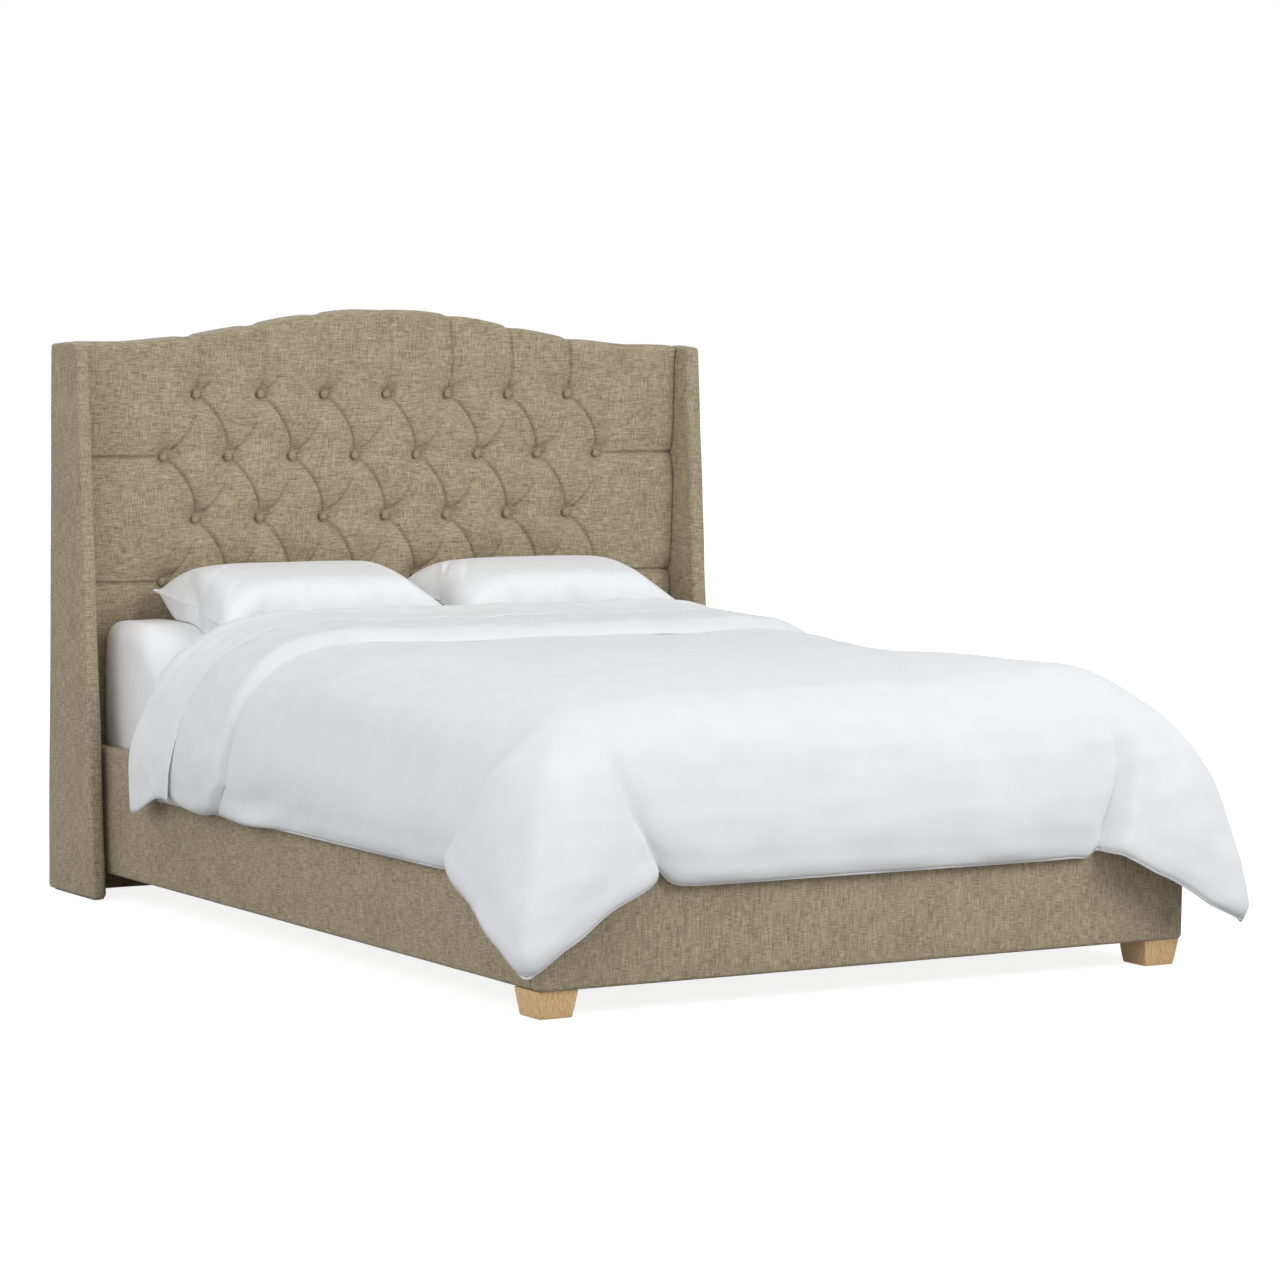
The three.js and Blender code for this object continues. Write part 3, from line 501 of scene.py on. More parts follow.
@dataclass(frozen=True)
class Finish:
    """What a piece is made of; each kind draws its own surface."""

    name: str
    dark: str
    light: str
    roughness: float

    def material(self) -> bpy.types.Material:
        """Gives the Blender material, made once and then shared.

        Returns:
            The material.
        """
        known = bpy.data.materials.get(self.name)
        if known is not None:
            return known
        made = bpy.data.materials.new(self.name)
        made.use_nodes = True
        tree = made.node_tree
        shader = next(n for n in tree.nodes if n.type == "BSDF_PRINCIPLED")
        place = add_node(tree, "ShaderNodeTexCoord").outputs["Object"]
        surface = Surface(tree, shader, place)
        surface.shine(Roughness=self.roughness)
        self.draw(surface)
        return made

    def draw(self, surface: Surface) -> None:
        """Adds the surface's own nodes."""
        raise NotImplementedError


@dataclass(frozen=True)
class HeatheredLinen(Finish):
    """Slubby linen-look upholstery cloth: dark and light yarns, plain weave, no shine.

    Real yarns are about 0.6 mm apart. They are drawn coarser, so that the slubs show as the short
    level and upright dashes that the eye sees across a room.
    """

    yarn_mm: float = 1.8
    slub_mm: float = 24
    cloud_mm: float = 70
    relief_mm: float = 0.9

    def draw(self, surface: Surface) -> None:
        """Upright and level slubs over a heathered ground.

        Args:
            surface: The material's nodes.
        """
        yarn, slub = self.yarn_mm, self.slub_mm
        upright = surface.noise((yarn, yarn, slub), 2, 0.65)
        level = surface.noise((slub, slub, yarn), 2, 0.65)
        speck = surface.noise((yarn,) * 3)
        cloud = surface.noise((self.cloud_mm,) * 3)
        shade = surface.combine((upright, 0.41), (level, 0.41), (speck, 0.12), (cloud, 0.06))
        surface.paint(surface.stretch(shade, 0.39, 0.61), self.dark, self.light)
        surface.press(shade, self.relief_mm)
        surface.shine(Sheen_Weight=0.12, Sheen_Roughness=0.5, Specular_IOR_Level=0.2)


@dataclass(frozen=True)
class CottonSheeting(Finish):
    """Washed white cotton: close weave, matt, faint soft creases that ironing leaves.

    Its 0.2 mm threads are far too fine to show and are drawn as a faint grain.
    """

    grain_mm: float = 1.6
    crease_mm: float = 42
    relief_mm: float = 1.2

    def draw(self, surface: Surface) -> None:
        """Faint grain, soft creases and hardly any change of colour.

        Args:
            surface: The material's nodes.
        """
        size = self.crease_mm
        grain = surface.noise((self.grain_mm,) * 3)
        crease = surface.noise((size,) * 3, 3, 0.45)
        long = surface.noise((size * 3, size, size * 3), 2)
        tint = surface.stretch(surface.combine((crease, 0.5), (grain, 0.5)), 0.3, 0.7)
        surface.paint(tint, self.dark, self.light)
        surface.press(surface.combine((crease, 1.0), (long, 0.8), (grain, 0.05)), self.relief_mm)
        surface.shine(Sheen_Weight=0.06, Specular_IOR_Level=0.2)


class Grain(Enum):
    """The axis that wood fibres run along."""

    X = 0
    Y = 1
    Z = 2


@dataclass(frozen=True)
class SawnWood(Finish):
    """Planed softwood or oak: darker late-wood lines along the board, fine pores, a dull oil finish."""

    grain: Grain = Grain.X
    ring_mm: float = 9
    fibre_mm: float = 1.4
    length_mm: float = 240
    late_wood: float = 0.09
    relief_mm: float = 0.25

    def draw(self, surface: Surface) -> None:
        """Wandering growth rings and fine fibres, both drawn out along the grain.

        Args:
            surface: The material's nodes.
        """
        rings, fibres = [self.ring_mm] * 3, [self.fibre_mm] * 3
        rings[self.grain.value] = self.length_mm
        fibres[self.grain.value] = self.length_mm / 6
        ring, fibre = surface.noise(rings, 2, 0.55), surface.noise(fibres, 2, 0.6)
        band = worked_out(surface.tree, "PINGPONG", ring, self.late_wood)
        shade = surface.combine((surface.stretch(band, 0.0, self.late_wood), 0.55), (fibre, 0.45))
        surface.paint(surface.stretch(shade, 0.2, 0.75), self.dark, self.light)
        surface.press(shade, self.relief_mm)


@dataclass(frozen=True)
class BirchPlywood(SawnWood):
    """Rotary-cut plywood face: broad pale figure and fine lathe checks."""

    ring_mm: float = 34
    length_mm: float = 420


@dataclass(frozen=True)
class ZincPlatedSteel(Finish):
    """Zinc-plated pressed steel: a dull bright skin with faint clouding and rolling lines."""

    cloud_mm: float = 14
    rolling_mm: tuple[float, float, float] = (60, 60, 0.8)
    relief_mm: float = 0.04

    def draw(self, surface: Surface) -> None:
        """Clouded colour over a full metal with fine rolling lines.

        Args:
            surface: The material's nodes.
        """
        cloud = surface.noise((self.cloud_mm,) * 3, 3, 0.6)
        surface.paint(surface.stretch(cloud, 0.3, 0.7), self.dark, self.light)
        surface.shine(Metallic=1.0)
        surface.press(surface.noise(self.rolling_mm), self.relief_mm)


@dataclass(frozen=True)
class MouldedNylon(Finish):
    """Injection-moulded nylon with a fine spark-eroded texture."""

    speck_mm: float = 0.9
    relief_mm: float = 0.08

    def draw(self, surface: Surface) -> None:
        """Fine texture with a slight bloom.

        Args:
            surface: The material's nodes.
        """
        speck = surface.noise((self.speck_mm,) * 3, 2)
        surface.paint(speck, self.dark, self.light)
        surface.press(speck, self.relief_mm)


@dataclass(frozen=True)
class CutFoam(Finish):
    """Polyurethane foam with open cells of about half a millimetre, drawn at 2 mm."""

    cell_mm: float = 2
    relief_mm: float = 0.6

    def draw(self, surface: Surface) -> None:
        """Pitted cells on a slightly yellowed ground.

        Args:
            surface: The material's nodes.
        """
        scale = {"Scale": per_metre(self.cell_mm)[0]}
        cells = add_node(surface.tree, "ShaderNodeTexVoronoi", scale, {"Vector": surface.place}).outputs[0]
        surface.paint(cells, self.light, self.dark)
        surface.press(cells, self.relief_mm)


@dataclass(frozen=True)
class StripedTicking(Finish):
    """Mattress ticking: close white twill with a narrow grey stripe every 40 mm."""

    stripe_mm: float = 40
    stripe_share: float = 0.12
    twill_mm: tuple[float, float, float] = (1.5, 6, 1.5)
    relief_mm: float = 0.3

    def draw(self, surface: Surface) -> None:
        """Stripes along the bed over a fine twill.

        Args:
            surface: The material's nodes.
        """
        tree = surface.tree
        across = add_node(tree, "ShaderNodeSeparateXYZ", {}, {0: surface.place}).outputs[0]
        count = worked_out(tree, "MULTIPLY", across, per_metre(self.stripe_mm)[0])
        stripe = worked_out(tree, "LESS_THAN", worked_out(tree, "FRACT", count), self.stripe_share)
        surface.paint(stripe, self.light, self.dark)
        surface.press(surface.noise(self.twill_mm), self.relief_mm)


@dataclass(frozen=True)
class WovenBackCloth(Finish):
    """Plain-woven polyester that closes the back: even threads, drawn 2 mm apart."""

    thread_mm: float = 2
    length_mm: float = 40
    relief_mm: float = 0.5

    def draw(self, surface: Surface) -> None:
        """A regular plain weave.

        Args:
            surface: The material's nodes.
        """
        thick, long = self.thread_mm, self.length_mm
        upright, level = surface.noise((thick, thick, long)), surface.noise((long, long, thick))
        shade = surface.combine((upright, 0.5), (level, 0.5))
        surface.paint(surface.stretch(shade, 0.35, 0.65), self.dark, self.light)
        surface.press(shade, self.relief_mm)


LINEN = HeatheredLinen("heathered linen upholstery cloth", "#7d705a", "#c0b397", 0.95)
BUTTON_LINEN = HeatheredLinen("linen over a button", "#7d705a", "#b9ac90", 0.95, slub_mm=5, relief_mm=0.5)
DUVET_COTTON = CottonSheeting("washed cotton duvet", "#e0e1e3", "#e8e8ea", 0.9, crease_mm=60, relief_mm=0.4)
SHEET_COTTON = CottonSheeting("cotton percale sheet", "#e5e6e7", "#edeeef", 0.85, relief_mm=0.4)
PILLOW_COTTON = CottonSheeting("cotton pillowcase", "#e7e8e9", "#eff0f1", 0.85, crease_mm=36, relief_mm=0.5)
FITTED_COTTON = CottonSheeting(
    "stretched cotton sheet", "#eeeff0", "#f6f6f7", 0.85, crease_mm=60, relief_mm=0.4
)
TICKING = StripedTicking("striped mattress ticking", "#a9adb2", "#dedfda", 0.9)
BACK_CLOTH = WovenBackCloth("woven back cloth", "#857a62", "#a2977d", 0.95)
FOAM = CutFoam("cut foam", "#cfc7a6", "#e2dbbf", 0.95)
OAK = SawnWood("oiled oak", "#c9a472", "#ecc894", 0.55, Grain.Z, ring_mm=7, length_mm=120)
STEEL = ZincPlatedSteel("zinc-plated steel", "#a3a6a9", "#c3c6c8", 0.42)
NYLON = MouldedNylon("moulded nylon", "#1f1f22", "#333338", 0.55)
PLYWOOD = BirchPlywood("birch plywood", "#b9956a", "#d8b98c", 0.6, Grain.X)


def pine(grain: Grain) -> SawnWood:
    """Planed softwood with its fibres along one axis."""
    return SawnWood(f"planed softwood along {grain.name.lower()}", "#b98d57", "#dec394", 0.6, grain)


# ------------------------------------------------------------------ places


@dataclass(frozen=True)
class Places:
    """Where the bed's main faces are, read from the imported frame."""

    rail_face: float
    foot_face: float
    head_face: float
    back: float
    mattress_top: float
    mattress_half: float
    mattress_head: float
    mattress_foot: float
    mattress_bottom: float

    @classmethod
    def from_frame(cls) -> "Places":
        """Reads the boxes of the pieces that carry the others.

        Returns:
            The places.
        """
        cover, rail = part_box("headboard_cover"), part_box("side_rail_cover_right")
        foot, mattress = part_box("foot_rail_cover"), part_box("mattress")
        return cls(
            rail_face=rail[1].x,
            foot_face=foot[0].y,
            head_face=cover[0].y,
            back=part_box("headboard_back_cloth")[1].y,
            mattress_top=mattress[1].z,
            mattress_half=mattress[1].x,
            mattress_head=mattress[1].y,
            mattress_foot=mattress[0].y,
            mattress_bottom=mattress[0].z,
        )


def attach(piece: bpy.types.Object, body: str, slot: str, *nodes: str) -> bpy.types.Object:
    """Lets a piece ride on a body and stand for nodes.

    Args:
        piece: The new piece.
        body: The body it moves with.
        slot: The record's material slot; not used.
        *nodes: The solids it stands for.

    Returns:
        The piece.
    """
    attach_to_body(piece, body)
    if nodes:
        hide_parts(*nodes)
    LOG.info("%s: %d points, rides on %s", piece.name, len(piece.data.vertices), body)
    return piece


# ------------------------------------------------------------------ padded slabs


class Facing(Enum):
    """The axis that a padded slab's thickness runs along."""

    SIDE = "x"
    FRONT = "y"


@dataclass
class PaddedSlab:
    """A flat board wrapped in wadding and linen: an outline with rounded edges and plump faces."""

    name: str
    outline: list[Point]
    low: float
    high: float
    facing: Facing
    low_radius: float = 0.009
    high_radius: float = 0.009
    corner_radius: float = 0.012
    plump: float = 0.002
    step: float = 0.02
    turns: int = 7
    seed: int = 1

    def rounded(self) -> np.ndarray:
        """Rounds the outline's corners and adds points along its sides.

        Returns:
            Points, closely spaced and counter-clockwise.
        """
        corners = np.array(self.outline, float)
        found = []
        for k, corner in enumerate(corners):
            following = corners[(k + 1) % len(corners)]
            before, after = unit(corners[k - 1] - corner), unit(following - corner)
            start, end = corner + before * self.corner_radius, corner + after * self.corner_radius
            t = np.linspace(0, 1, self.turns)[:, None]
            found.append((1 - t) ** 2 * start + 2 * t * (1 - t) * corner + t**2 * end)
            far = following - after * self.corner_radius
            count = max(2, int(np.linalg.norm(far - end) / self.step))
            found.append(end + (far - end) * np.linspace(0, 1, count + 1)[1:-1, None])
        return np.concatenate(found)

    def piece(self) -> bpy.types.Object:
        """Builds the slab as rings over both faces, joined round the edge.

        Returns:
            The slab.
        """
        ring = self.rounded()
        flat_z = np.ones(len(ring))
        tangent = np.roll(ring, -1, axis=0) - np.roll(ring, 1, axis=0)
        inward = unit(np.stack([-tangent[:, 1], tangent[:, 0]], axis=1))
        half, centre = (self.high - self.low) / 2, (self.high + self.low) / 2
        sides = []
        for radius in (self.low_radius, self.high_radius):
            loops = [np.column_stack([ring, 0 * flat_z])]
            for turn in np.linspace(0, math.pi / 2, self.turns):
                inset, out = radius * (1 - math.cos(turn)), half - radius * (1 - math.sin(turn))
                loops.append(np.column_stack([ring + inward * inset, flat_z * out]))
            middle, flat = ring.mean(0), ring + inward * radius
            for share in (0.95, 0.88, 0.78, 0.65, 0.5, 0.33, 0.16, 0.0):
                shrunk = middle + (flat - middle) * share
                loops.append(np.column_stack([shrunk, flat_z * (half + self.plump * (1 - share**5))]))
            sides.append(loops)
        grid = np.array([loop * [1, 1, -1] for loop in sides[0][:0:-1]] + sides[1])
        wave = 0.0008 * ripple(grid[..., 0], grid[..., 1], 0.23, self.seed)
        grid[..., 2] += centre + wave * (np.ptp(grid[..., :2], axis=1).max(axis=1) > 1e-6)[:, None]
        u, v, w = (grid[..., k].ravel() for k in range(3))
        points = np.column_stack((w, u, v) if self.facing is Facing.SIDE else (u, w, v))
        return make_piece(self.name, points, grid_faces(*grid.shape[:2], wrap=True), LINEN)


@dataclass
class UpholsteredFrame:
    """The wings and rails, each a padded slab over its timber, and the feet."""

    wing_top_depth: float = 0.138
    outer_radius: float = 0.008
    inner_radius: float = 0.0155
    crown: float = 0.004
    foot_taper: float = 0.82
    foot_bevel: float = 0.0025
    foot_arc: int = 4

    def clad(self, slab: PaddedSlab, node: str) -> None:
        """Builds a slab and lets it stand for the cover's solid."""
        attach(slab.piece(), "bed_frame", "linen", node)

    def wings(self) -> None:
        """Both wings: upright slabs whose front edge runs out towards the floor."""
        for side, sign in SIDES:
            low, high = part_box(f"wing_cover_{side}")
            outline = [
                (low.y, low.z),
                (high.y, low.z),
                (high.y, high.z - 0.001),
                (high.y - self.wing_top_depth * 0.55, high.z + self.crown),
                (high.y - self.wing_top_depth, high.z - 0.001),
            ]
            radii = (self.outer_radius, self.inner_radius)[:: -sign]
            name = f"linen_wing_{side}"
            slab = PaddedSlab(name, outline, low.x, high.x, Facing.SIDE, *radii, seed=5 + sign)
            self.clad(slab, f"wing_cover_{side}")

    def rails(self) -> None:
        """Side rails and foot rail."""
        for side, sign in SIDES:
            low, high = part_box(f"side_rail_cover_{side}")
            outline = [(low.y, low.z), (high.y, low.z), (high.y, high.z), (low.y, high.z)]
            name, radius = f"linen_side_rail_{side}", 0.008
            slab = PaddedSlab(name, outline, low.x, high.x, Facing.SIDE, corner_radius=radius, seed=9 + sign)
            self.clad(slab, f"side_rail_cover_{side}")
        low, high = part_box("foot_rail_cover")
        outline = [(low.x, low.z), (high.x, low.z), (high.x, high.z), (low.x, high.z)]
        slab = PaddedSlab("linen_foot_rail", outline, low.y, high.y, Facing.FRONT, seed=13)
        self.clad(slab, "foot_rail_cover")

    def foot(self, side: str) -> None:
        """A tapered oak block with eased edges.

        Args:
            side: Left or right.
        """
        low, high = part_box(f"foot_{side}")
        middle, tall, top = (low + high) / 2, high.z - low.z, (high.x - low.x) / 2
        bottom, bevel = top * self.foot_taper, self.foot_bevel
        levels = [(0, bottom - bevel), (bevel * 0.4, bottom - bevel * 0.3), (bevel, bottom)]
        levels += [(tall * t, bottom + (top - bottom) * t) for t in (0.3, 0.6, 0.9)]
        levels += [(tall, top)]
        corner = math.pi / 4 + math.pi / 2 * np.repeat(np.arange(4), self.foot_arc + 1)
        turn = corner - math.pi / 4 + np.tile(np.linspace(0, math.pi / 2, self.foot_arc + 1), 4)
        rings = []
        for up, half in levels:
            x = middle.x + np.copysign(half - bevel, np.cos(corner)) + bevel * np.cos(turn)
            y = middle.y + np.copysign(half - bevel, np.sin(corner)) + bevel * np.sin(turn)
            rings.append(np.column_stack([x, y, np.full(len(x), low.z + up)]))
        block = make_piece(f"oak_foot_{side}", *capped(rings), OAK, 50)
        attach(block, "bed_frame", "oak", f"foot_{side}")

    def build(self) -> None:
        """Builds wings, rails and feet."""
        self.wings()
        self.rails()
        for side, _ in SIDES:
            self.foot(side)


# ------------------------------------------------------------------ headboard


class Pleat(Enum):
    """How a pleat shows: a crisp folded lip, or a softer crease."""

    CRISP = 1.0
    SOFT = 0.6


class LitSide(Enum):
    """The side of a pleat, seen along it, on which the cloth rolls over and catches the light."""

    LEFT = 1.0
    RIGHT = -1.0


@dataclass
class PleatLine:
    """One pleat from a button to its neighbour or to the edge, with its bend."""

    start: Point
    bend: Point
    end: Point
    kind: Pleat
    lit: LitSide = LitSide.RIGHT
    end_depth: float = 1.0
    fade: float = 1.0

    def points(self) -> np.ndarray:
        """Traces the pleat.

        Returns:
            Points along it.
        """
        t = np.linspace(0, 1, 26)[:, None]
        a, b, c = (np.array(p, float) for p in (self.start, self.bend, self.end))
        return (1 - t) ** 2 * a + 2 * t * (1 - t) * b + t**2 * c

    def measured(self, x: np.ndarray, z: np.ndarray) -> tuple[np.ndarray, np.ndarray, np.ndarray]:
        """Distance to the pleat, the share of its length, and the signed distance to its left.

        Args:
            x: Across the headboard.
            z: Height.

        Returns:
            The three values at each place.
        """
        line = self.points()
        away, along, left = np.full(x.shape, 1e3), np.zeros(x.shape), np.zeros(x.shape)
        for k, (a, b) in enumerate(zip(line[:-1], line[1:])):
            step = b - a
            share = np.clip(((x - a[0]) * step[0] + (z - a[1]) * step[1]) / (step @ step), 0, 1)
            dx, dz = x - a[0] - share * step[0], z - a[1] - share * step[1]
            gap = np.hypot(dx, dz)
            closer = gap < away
            away = np.where(closer, gap, away)
            along = np.where(closer, (k + share) / (len(line) - 1), along)
            left = np.where(closer, (dz * step[0] - dx * step[1]) / np.hypot(*step), left)
        return away, along, left

    def nearby(self, x: np.ndarray, z: np.ndarray, margin: float) -> tuple[np.ndarray, ...]:
        """Measures only the places that the pleat can reach.

        Args:
            x: Across the headboard.
            z: Height.
            margin: How far it reaches.

        Returns:
            Which places are near, and what is measured at each of those.
        """
        line = self.points()
        low, high = line.min(0) - margin, line.max(0) + margin
        near = (x > low[0]) & (x < high[0]) & (z > low[1]) & (z < high[1])
        return near, *self.measured(x[near], z[near])


@dataclass
class TuftedHeadboard:
    """The arched front: linen drawn in by covered buttons, pleated in diamonds between them."""

    places: Places
    button_counts: tuple[int, ...] = (7, 8, 7, 8)
    half_pitch: float = 0.086
    button_sides: int = 24
    button_dome: float = 0.0068
    button_sink: float = 0.0122
    button_radius: float = 0.0096
    arch_half: float = 0.710
    shoulder_drop: float = 0.079
    proud: float = 0.014
    pocket_depth: float = 0.0285
    pocket_floor: float = 0.0118
    pocket_reach: float = 0.0250
    lean_deg: float = 48
    lean_stretch: float = 0.74
    rim_share: float = 0.16
    rim_reach: float = 0.004
    calm_radius: float = 0.017
    pleat_depth: float = 0.0155
    pleat_reach: float = 0.021
    pleat_waist: float = 0.42
    pleat_margin: float = 0.08
    lip_depth: float = 0.0060
    lip_width: float = 0.0030
    roll: float = 0.0016
    roll_away: float = 0.0062
    roll_width: float = 0.0034
    gathers: tuple[Point, ...] = ((88, 0.034), (66, 0.042), (45, 0.046), (22, 0.040), (0, 0.030))
    gather_depth: float = 0.0165
    gather_width: float = 0.0034
    gather_margin: float = 0.02
    edge_radius: float = 0.016
    side_radius: float = 0.010
    scallop: float = 0.0132
    swell: float = 0.0052
    step: float = 0.0026
    plain_below: float = 0.60
    buttons: list[list[Point]] = field(default_factory=list)

    def __post_init__(self) -> None:
        """Reads the buttons' places from the frame."""
        for row, count in enumerate(self.button_counts, 1):
            low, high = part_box(f"button_row_{row}")
            inset = (high.z - low.z) / 2
            xs = np.linspace(low.x + inset, high.x - inset, count)
            self.buttons.append([(float(x), (low.z + high.z) / 2) for x in xs])
        self.low, self.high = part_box("headboard_cover")
        self.face = self.low.y - self.proud

    def arch(self, x: np.ndarray) -> np.ndarray:
        """Height of the top edge: level shoulders and a smooth rise to the middle."""
        share = np.minimum(np.abs(x) / self.arch_half, 1)
        return self.high.z - self.shoulder_drop / 2 * (1 - np.cos(math.pi * share))

    def top_edge(self, x: np.ndarray) -> np.ndarray:
        """The arch with a small dip where each upright pleat reaches it, and soft swells between.

        Args:
            x: Across the headboard.

        Returns:
            The heights.
        """
        height = self.arch(x) + self.swell * (1 - ease(np.abs(x), 0.55, 0.72))
        for button_x, _ in self.buttons[0]:
            flank = np.exp(-np.abs(x - button_x) / 0.045)
            height = height - self.scallop * (0.6 * bump(x, button_x, 0.013) + 0.4 * flank)
        return height - 0.004 * ease(np.abs(x), self.high.x - 0.03, self.high.x)

    def pleats(self) -> list[PleatLine]:
        """Finds the pleats between the buttons and out to the edges.

        Returns:
            All of them.
        """
        found = []
        rows, edge = self.buttons, self.high.x
        chance = np.random.default_rng(5)
        for upper, lower in zip(rows, rows[1:]):
            for x, z in upper:
                for other_x, other_z in lower:
                    span, drop = other_x - x, z - other_z
                    if abs(abs(span) - self.half_pitch) > 0.01:
                        continue
                    bow = chance.uniform(0.8, 0.95)
                    if span > 0:
                        bend = (x + bow * span, z - 0.40 * drop)
                        found.append(PleatLine((x, z), bend, (other_x, other_z), Pleat.CRISP))
                    else:
                        bend = (other_x - bow * span, other_z + 0.36 * drop)
                        start = (other_x, other_z)
                        found.append(PleatLine(start, bend, (x, z), Pleat.CRISP, LitSide.RIGHT, 0.45, 0.75))
        for x, z in rows[0]:
            kind = Pleat.CRISP if x > 0.1 else Pleat.SOFT
            top = float(self.arch(np.array(x)))
            bend = (x + chance.uniform(0.006, 0.02), z + 0.08)
            found.append(PleatLine((x, z), bend, (x - 0.003, top), kind, LitSide.RIGHT, 0.9))
        for row in (1, 3):
            for index, sign, lit in ((0, -1, LitSide.RIGHT), (-1, 1, LitSide.LEFT)):
                x, z = rows[row][index]
                bend = ((x + sign * edge) / 2, z + 0.001)
                found.append(PleatLine((x, z), bend, (sign * edge, z + 0.001), Pleat.CRISP, lit))
        for x, z in rows[-1]:
            found.append(PleatLine((x, z), (x, z - 0.05), (x, z - 0.12), Pleat.SOFT, LitSide.RIGHT, 0.0))
        return found

    def creases(self) -> list[PleatLine]:
        """Finds the short gathers that fan out above and right of each button.

        Returns:
            All of them.
        """
        found = []
        chance = np.random.default_rng(11)
        for row in self.buttons:
            for x, z in row:
                for turn, reach in self.gathers:
                    angle = math.radians(turn + chance.uniform(-7, 7))
                    far = reach * chance.uniform(0.75, 1.15)
                    end = (x + far * math.cos(angle), z + far * math.sin(angle))
                    bent, half_way = angle - 0.15, far * 0.55
                    bend = (x + half_way * math.cos(bent), z + half_way * math.sin(bent))
                    kind = Pleat.CRISP if turn == 45 else Pleat.SOFT
                    found.append(PleatLine((x, z), bend, end, kind, LitSide.RIGHT, 0.0))
        return found

    def pressed_in(self, x: np.ndarray, z: np.ndarray) -> np.ndarray:
        """How far the face lies behind its highest parts.

        Args:
            x: Across the headboard.
            z: Height.

        Returns:
            Depth in metres.
        """
        powered, lips = np.zeros(x.shape), np.zeros(x.shape)
        for pleat in self.pleats():
            near, away, along, left = pleat.nearby(x, z, self.pleat_margin)
            strength = pleat.kind.value * (1 + (pleat.end_depth - 1) * along)
            waist = 1 - self.pleat_waist * np.sin(math.pi * along)
            powered[near] += (self.pleat_depth * strength * waist * np.exp(-away / self.pleat_reach)) ** 3
            if pleat.fade < 1:
                strength = strength * (1 - ease(along, pleat.fade * 0.7, pleat.fade + 1e-3))
            rolled = bump(left * pleat.lit.value, self.roll_away, self.roll_width) * (away < 0.016)
            lips[near] += strength * (self.lip_depth * bump(away, 0, self.lip_width) - self.roll * rolled)
        for crease in self.creases():
            near, away, along, _ = crease.nearby(x, z, self.gather_margin)
            fade = (1 - along) * ease(along, 0.05, 0.3)
            lips[near] += self.gather_depth * crease.kind.value * bump(away, 0, self.gather_width) * fade
        pockets, flats = np.zeros(x.shape), np.zeros(x.shape)
        for bx, bz in sum(self.buttons, []):
            lean = np.arctan2(z - bz, x - bx) - math.radians(self.lean_deg)
            reach = self.pocket_reach * (1 + self.lean_stretch * np.clip(np.cos(lean), 0, 1) ** 2)
            away = np.hypot(x - bx, z - bz)
            past = np.maximum(away - self.pocket_floor, 0)
            rim = np.exp(-((past / self.rim_reach) ** 1.2))
            funnel = (1 - self.rim_share) * np.exp(-((past / reach) ** 1.1)) + self.rim_share * rim
            pockets = np.maximum(pockets, self.pocket_depth * funnel)
            flats = np.maximum(flats, np.exp(-((away / self.calm_radius) ** 4)))
        depth = (powered + pockets**3) ** (1 / 3) + lips * (1 - flats)
        depth = np.minimum(depth, self.pocket_depth + 0.001)
        return depth + (self.proud - 0.002) * (1 - ease(z, self.plain_below, self.plain_below + 0.10))

    def cover(self) -> bpy.types.Object:
        """Builds the linen from the lower edge over the front, round the arch and down the sides.

        Returns:
            The cover.
        """
        width, back = self.high.x, self.places.back - 0.002
        radius, side_radius = self.edge_radius, self.side_radius
        turn = np.linspace(0, math.pi / 2, 8)[1:]
        side_x = np.concatenate([side_radius * np.sin(turn), np.full(3, side_radius)])
        side_in = np.concatenate([side_radius * (1 - np.cos(turn)), [0.025, 0.05, 0.08]])
        half = width - side_radius
        xs = np.linspace(-half, half, int(2 * half / self.step))
        column_x = np.concatenate([xs[0] - side_x[::-1], xs, xs[-1] + side_x])
        column_in = np.concatenate([side_in[::-1], np.zeros(len(xs)), side_in])[None]
        top, start = self.top_edge(column_x)[None], self.low.z
        plain = start + (self.plain_below - start) * np.linspace(0, 1, 24)[:-1, None] + 0 * top
        count = int((self.high.z - self.plain_below) / self.step)
        dense = self.plain_below + np.linspace(0, 1, count)[:, None] * (top - radius - self.plain_below)
        arc = top - radius + radius * np.sin(turn)[:, None]
        # Behind the edge the cloth rises back to the arch, so that its notches don't show the foam.
        over_in = [0.020, 0.028, 0.040, 0.055, 0.072, 0.090]
        over_share = np.array([0.35, 1, 1, 1, 1, 1])[:, None]
        over = top * (1 - over_share) + np.maximum(top, self.arch(column_x) - 0.0020) * over_share
        z = np.concatenate([plain, dense, arc, over])
        row_in = np.concatenate([np.zeros(len(plain) + count), radius * (1 - np.cos(turn)), over_in])[:, None]
        x = np.repeat(column_x[None], len(z), axis=0)
        fade = np.clip(1 - np.maximum(row_in, column_in) / 0.03, 0, 1)
        y = self.face + row_in + column_in + (self.pressed_in(x, z) + 0.0014 * ripple(x, z, 0.13, 3)) * fade
        pinch = sum(np.exp(-np.abs(z - self.buttons[row][0][1]) / 0.03) for row in (1, 3))
        edge = ease(np.abs(x), width - 0.06, width) ** 2
        y = y + (0.004 + 0.006 * np.clip(pinch, 0, 1)) * edge * (row_in == 0)
        front = (row_in == 0) & (column_in == 0)
        y = np.where(front, np.minimum(y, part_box("headboard_foam")[0].y - 0.0008), np.minimum(y, back))
        return make_piece("tufted_linen_front", np.stack([x, y, z], axis=2), grid_faces(*x.shape), LINEN)

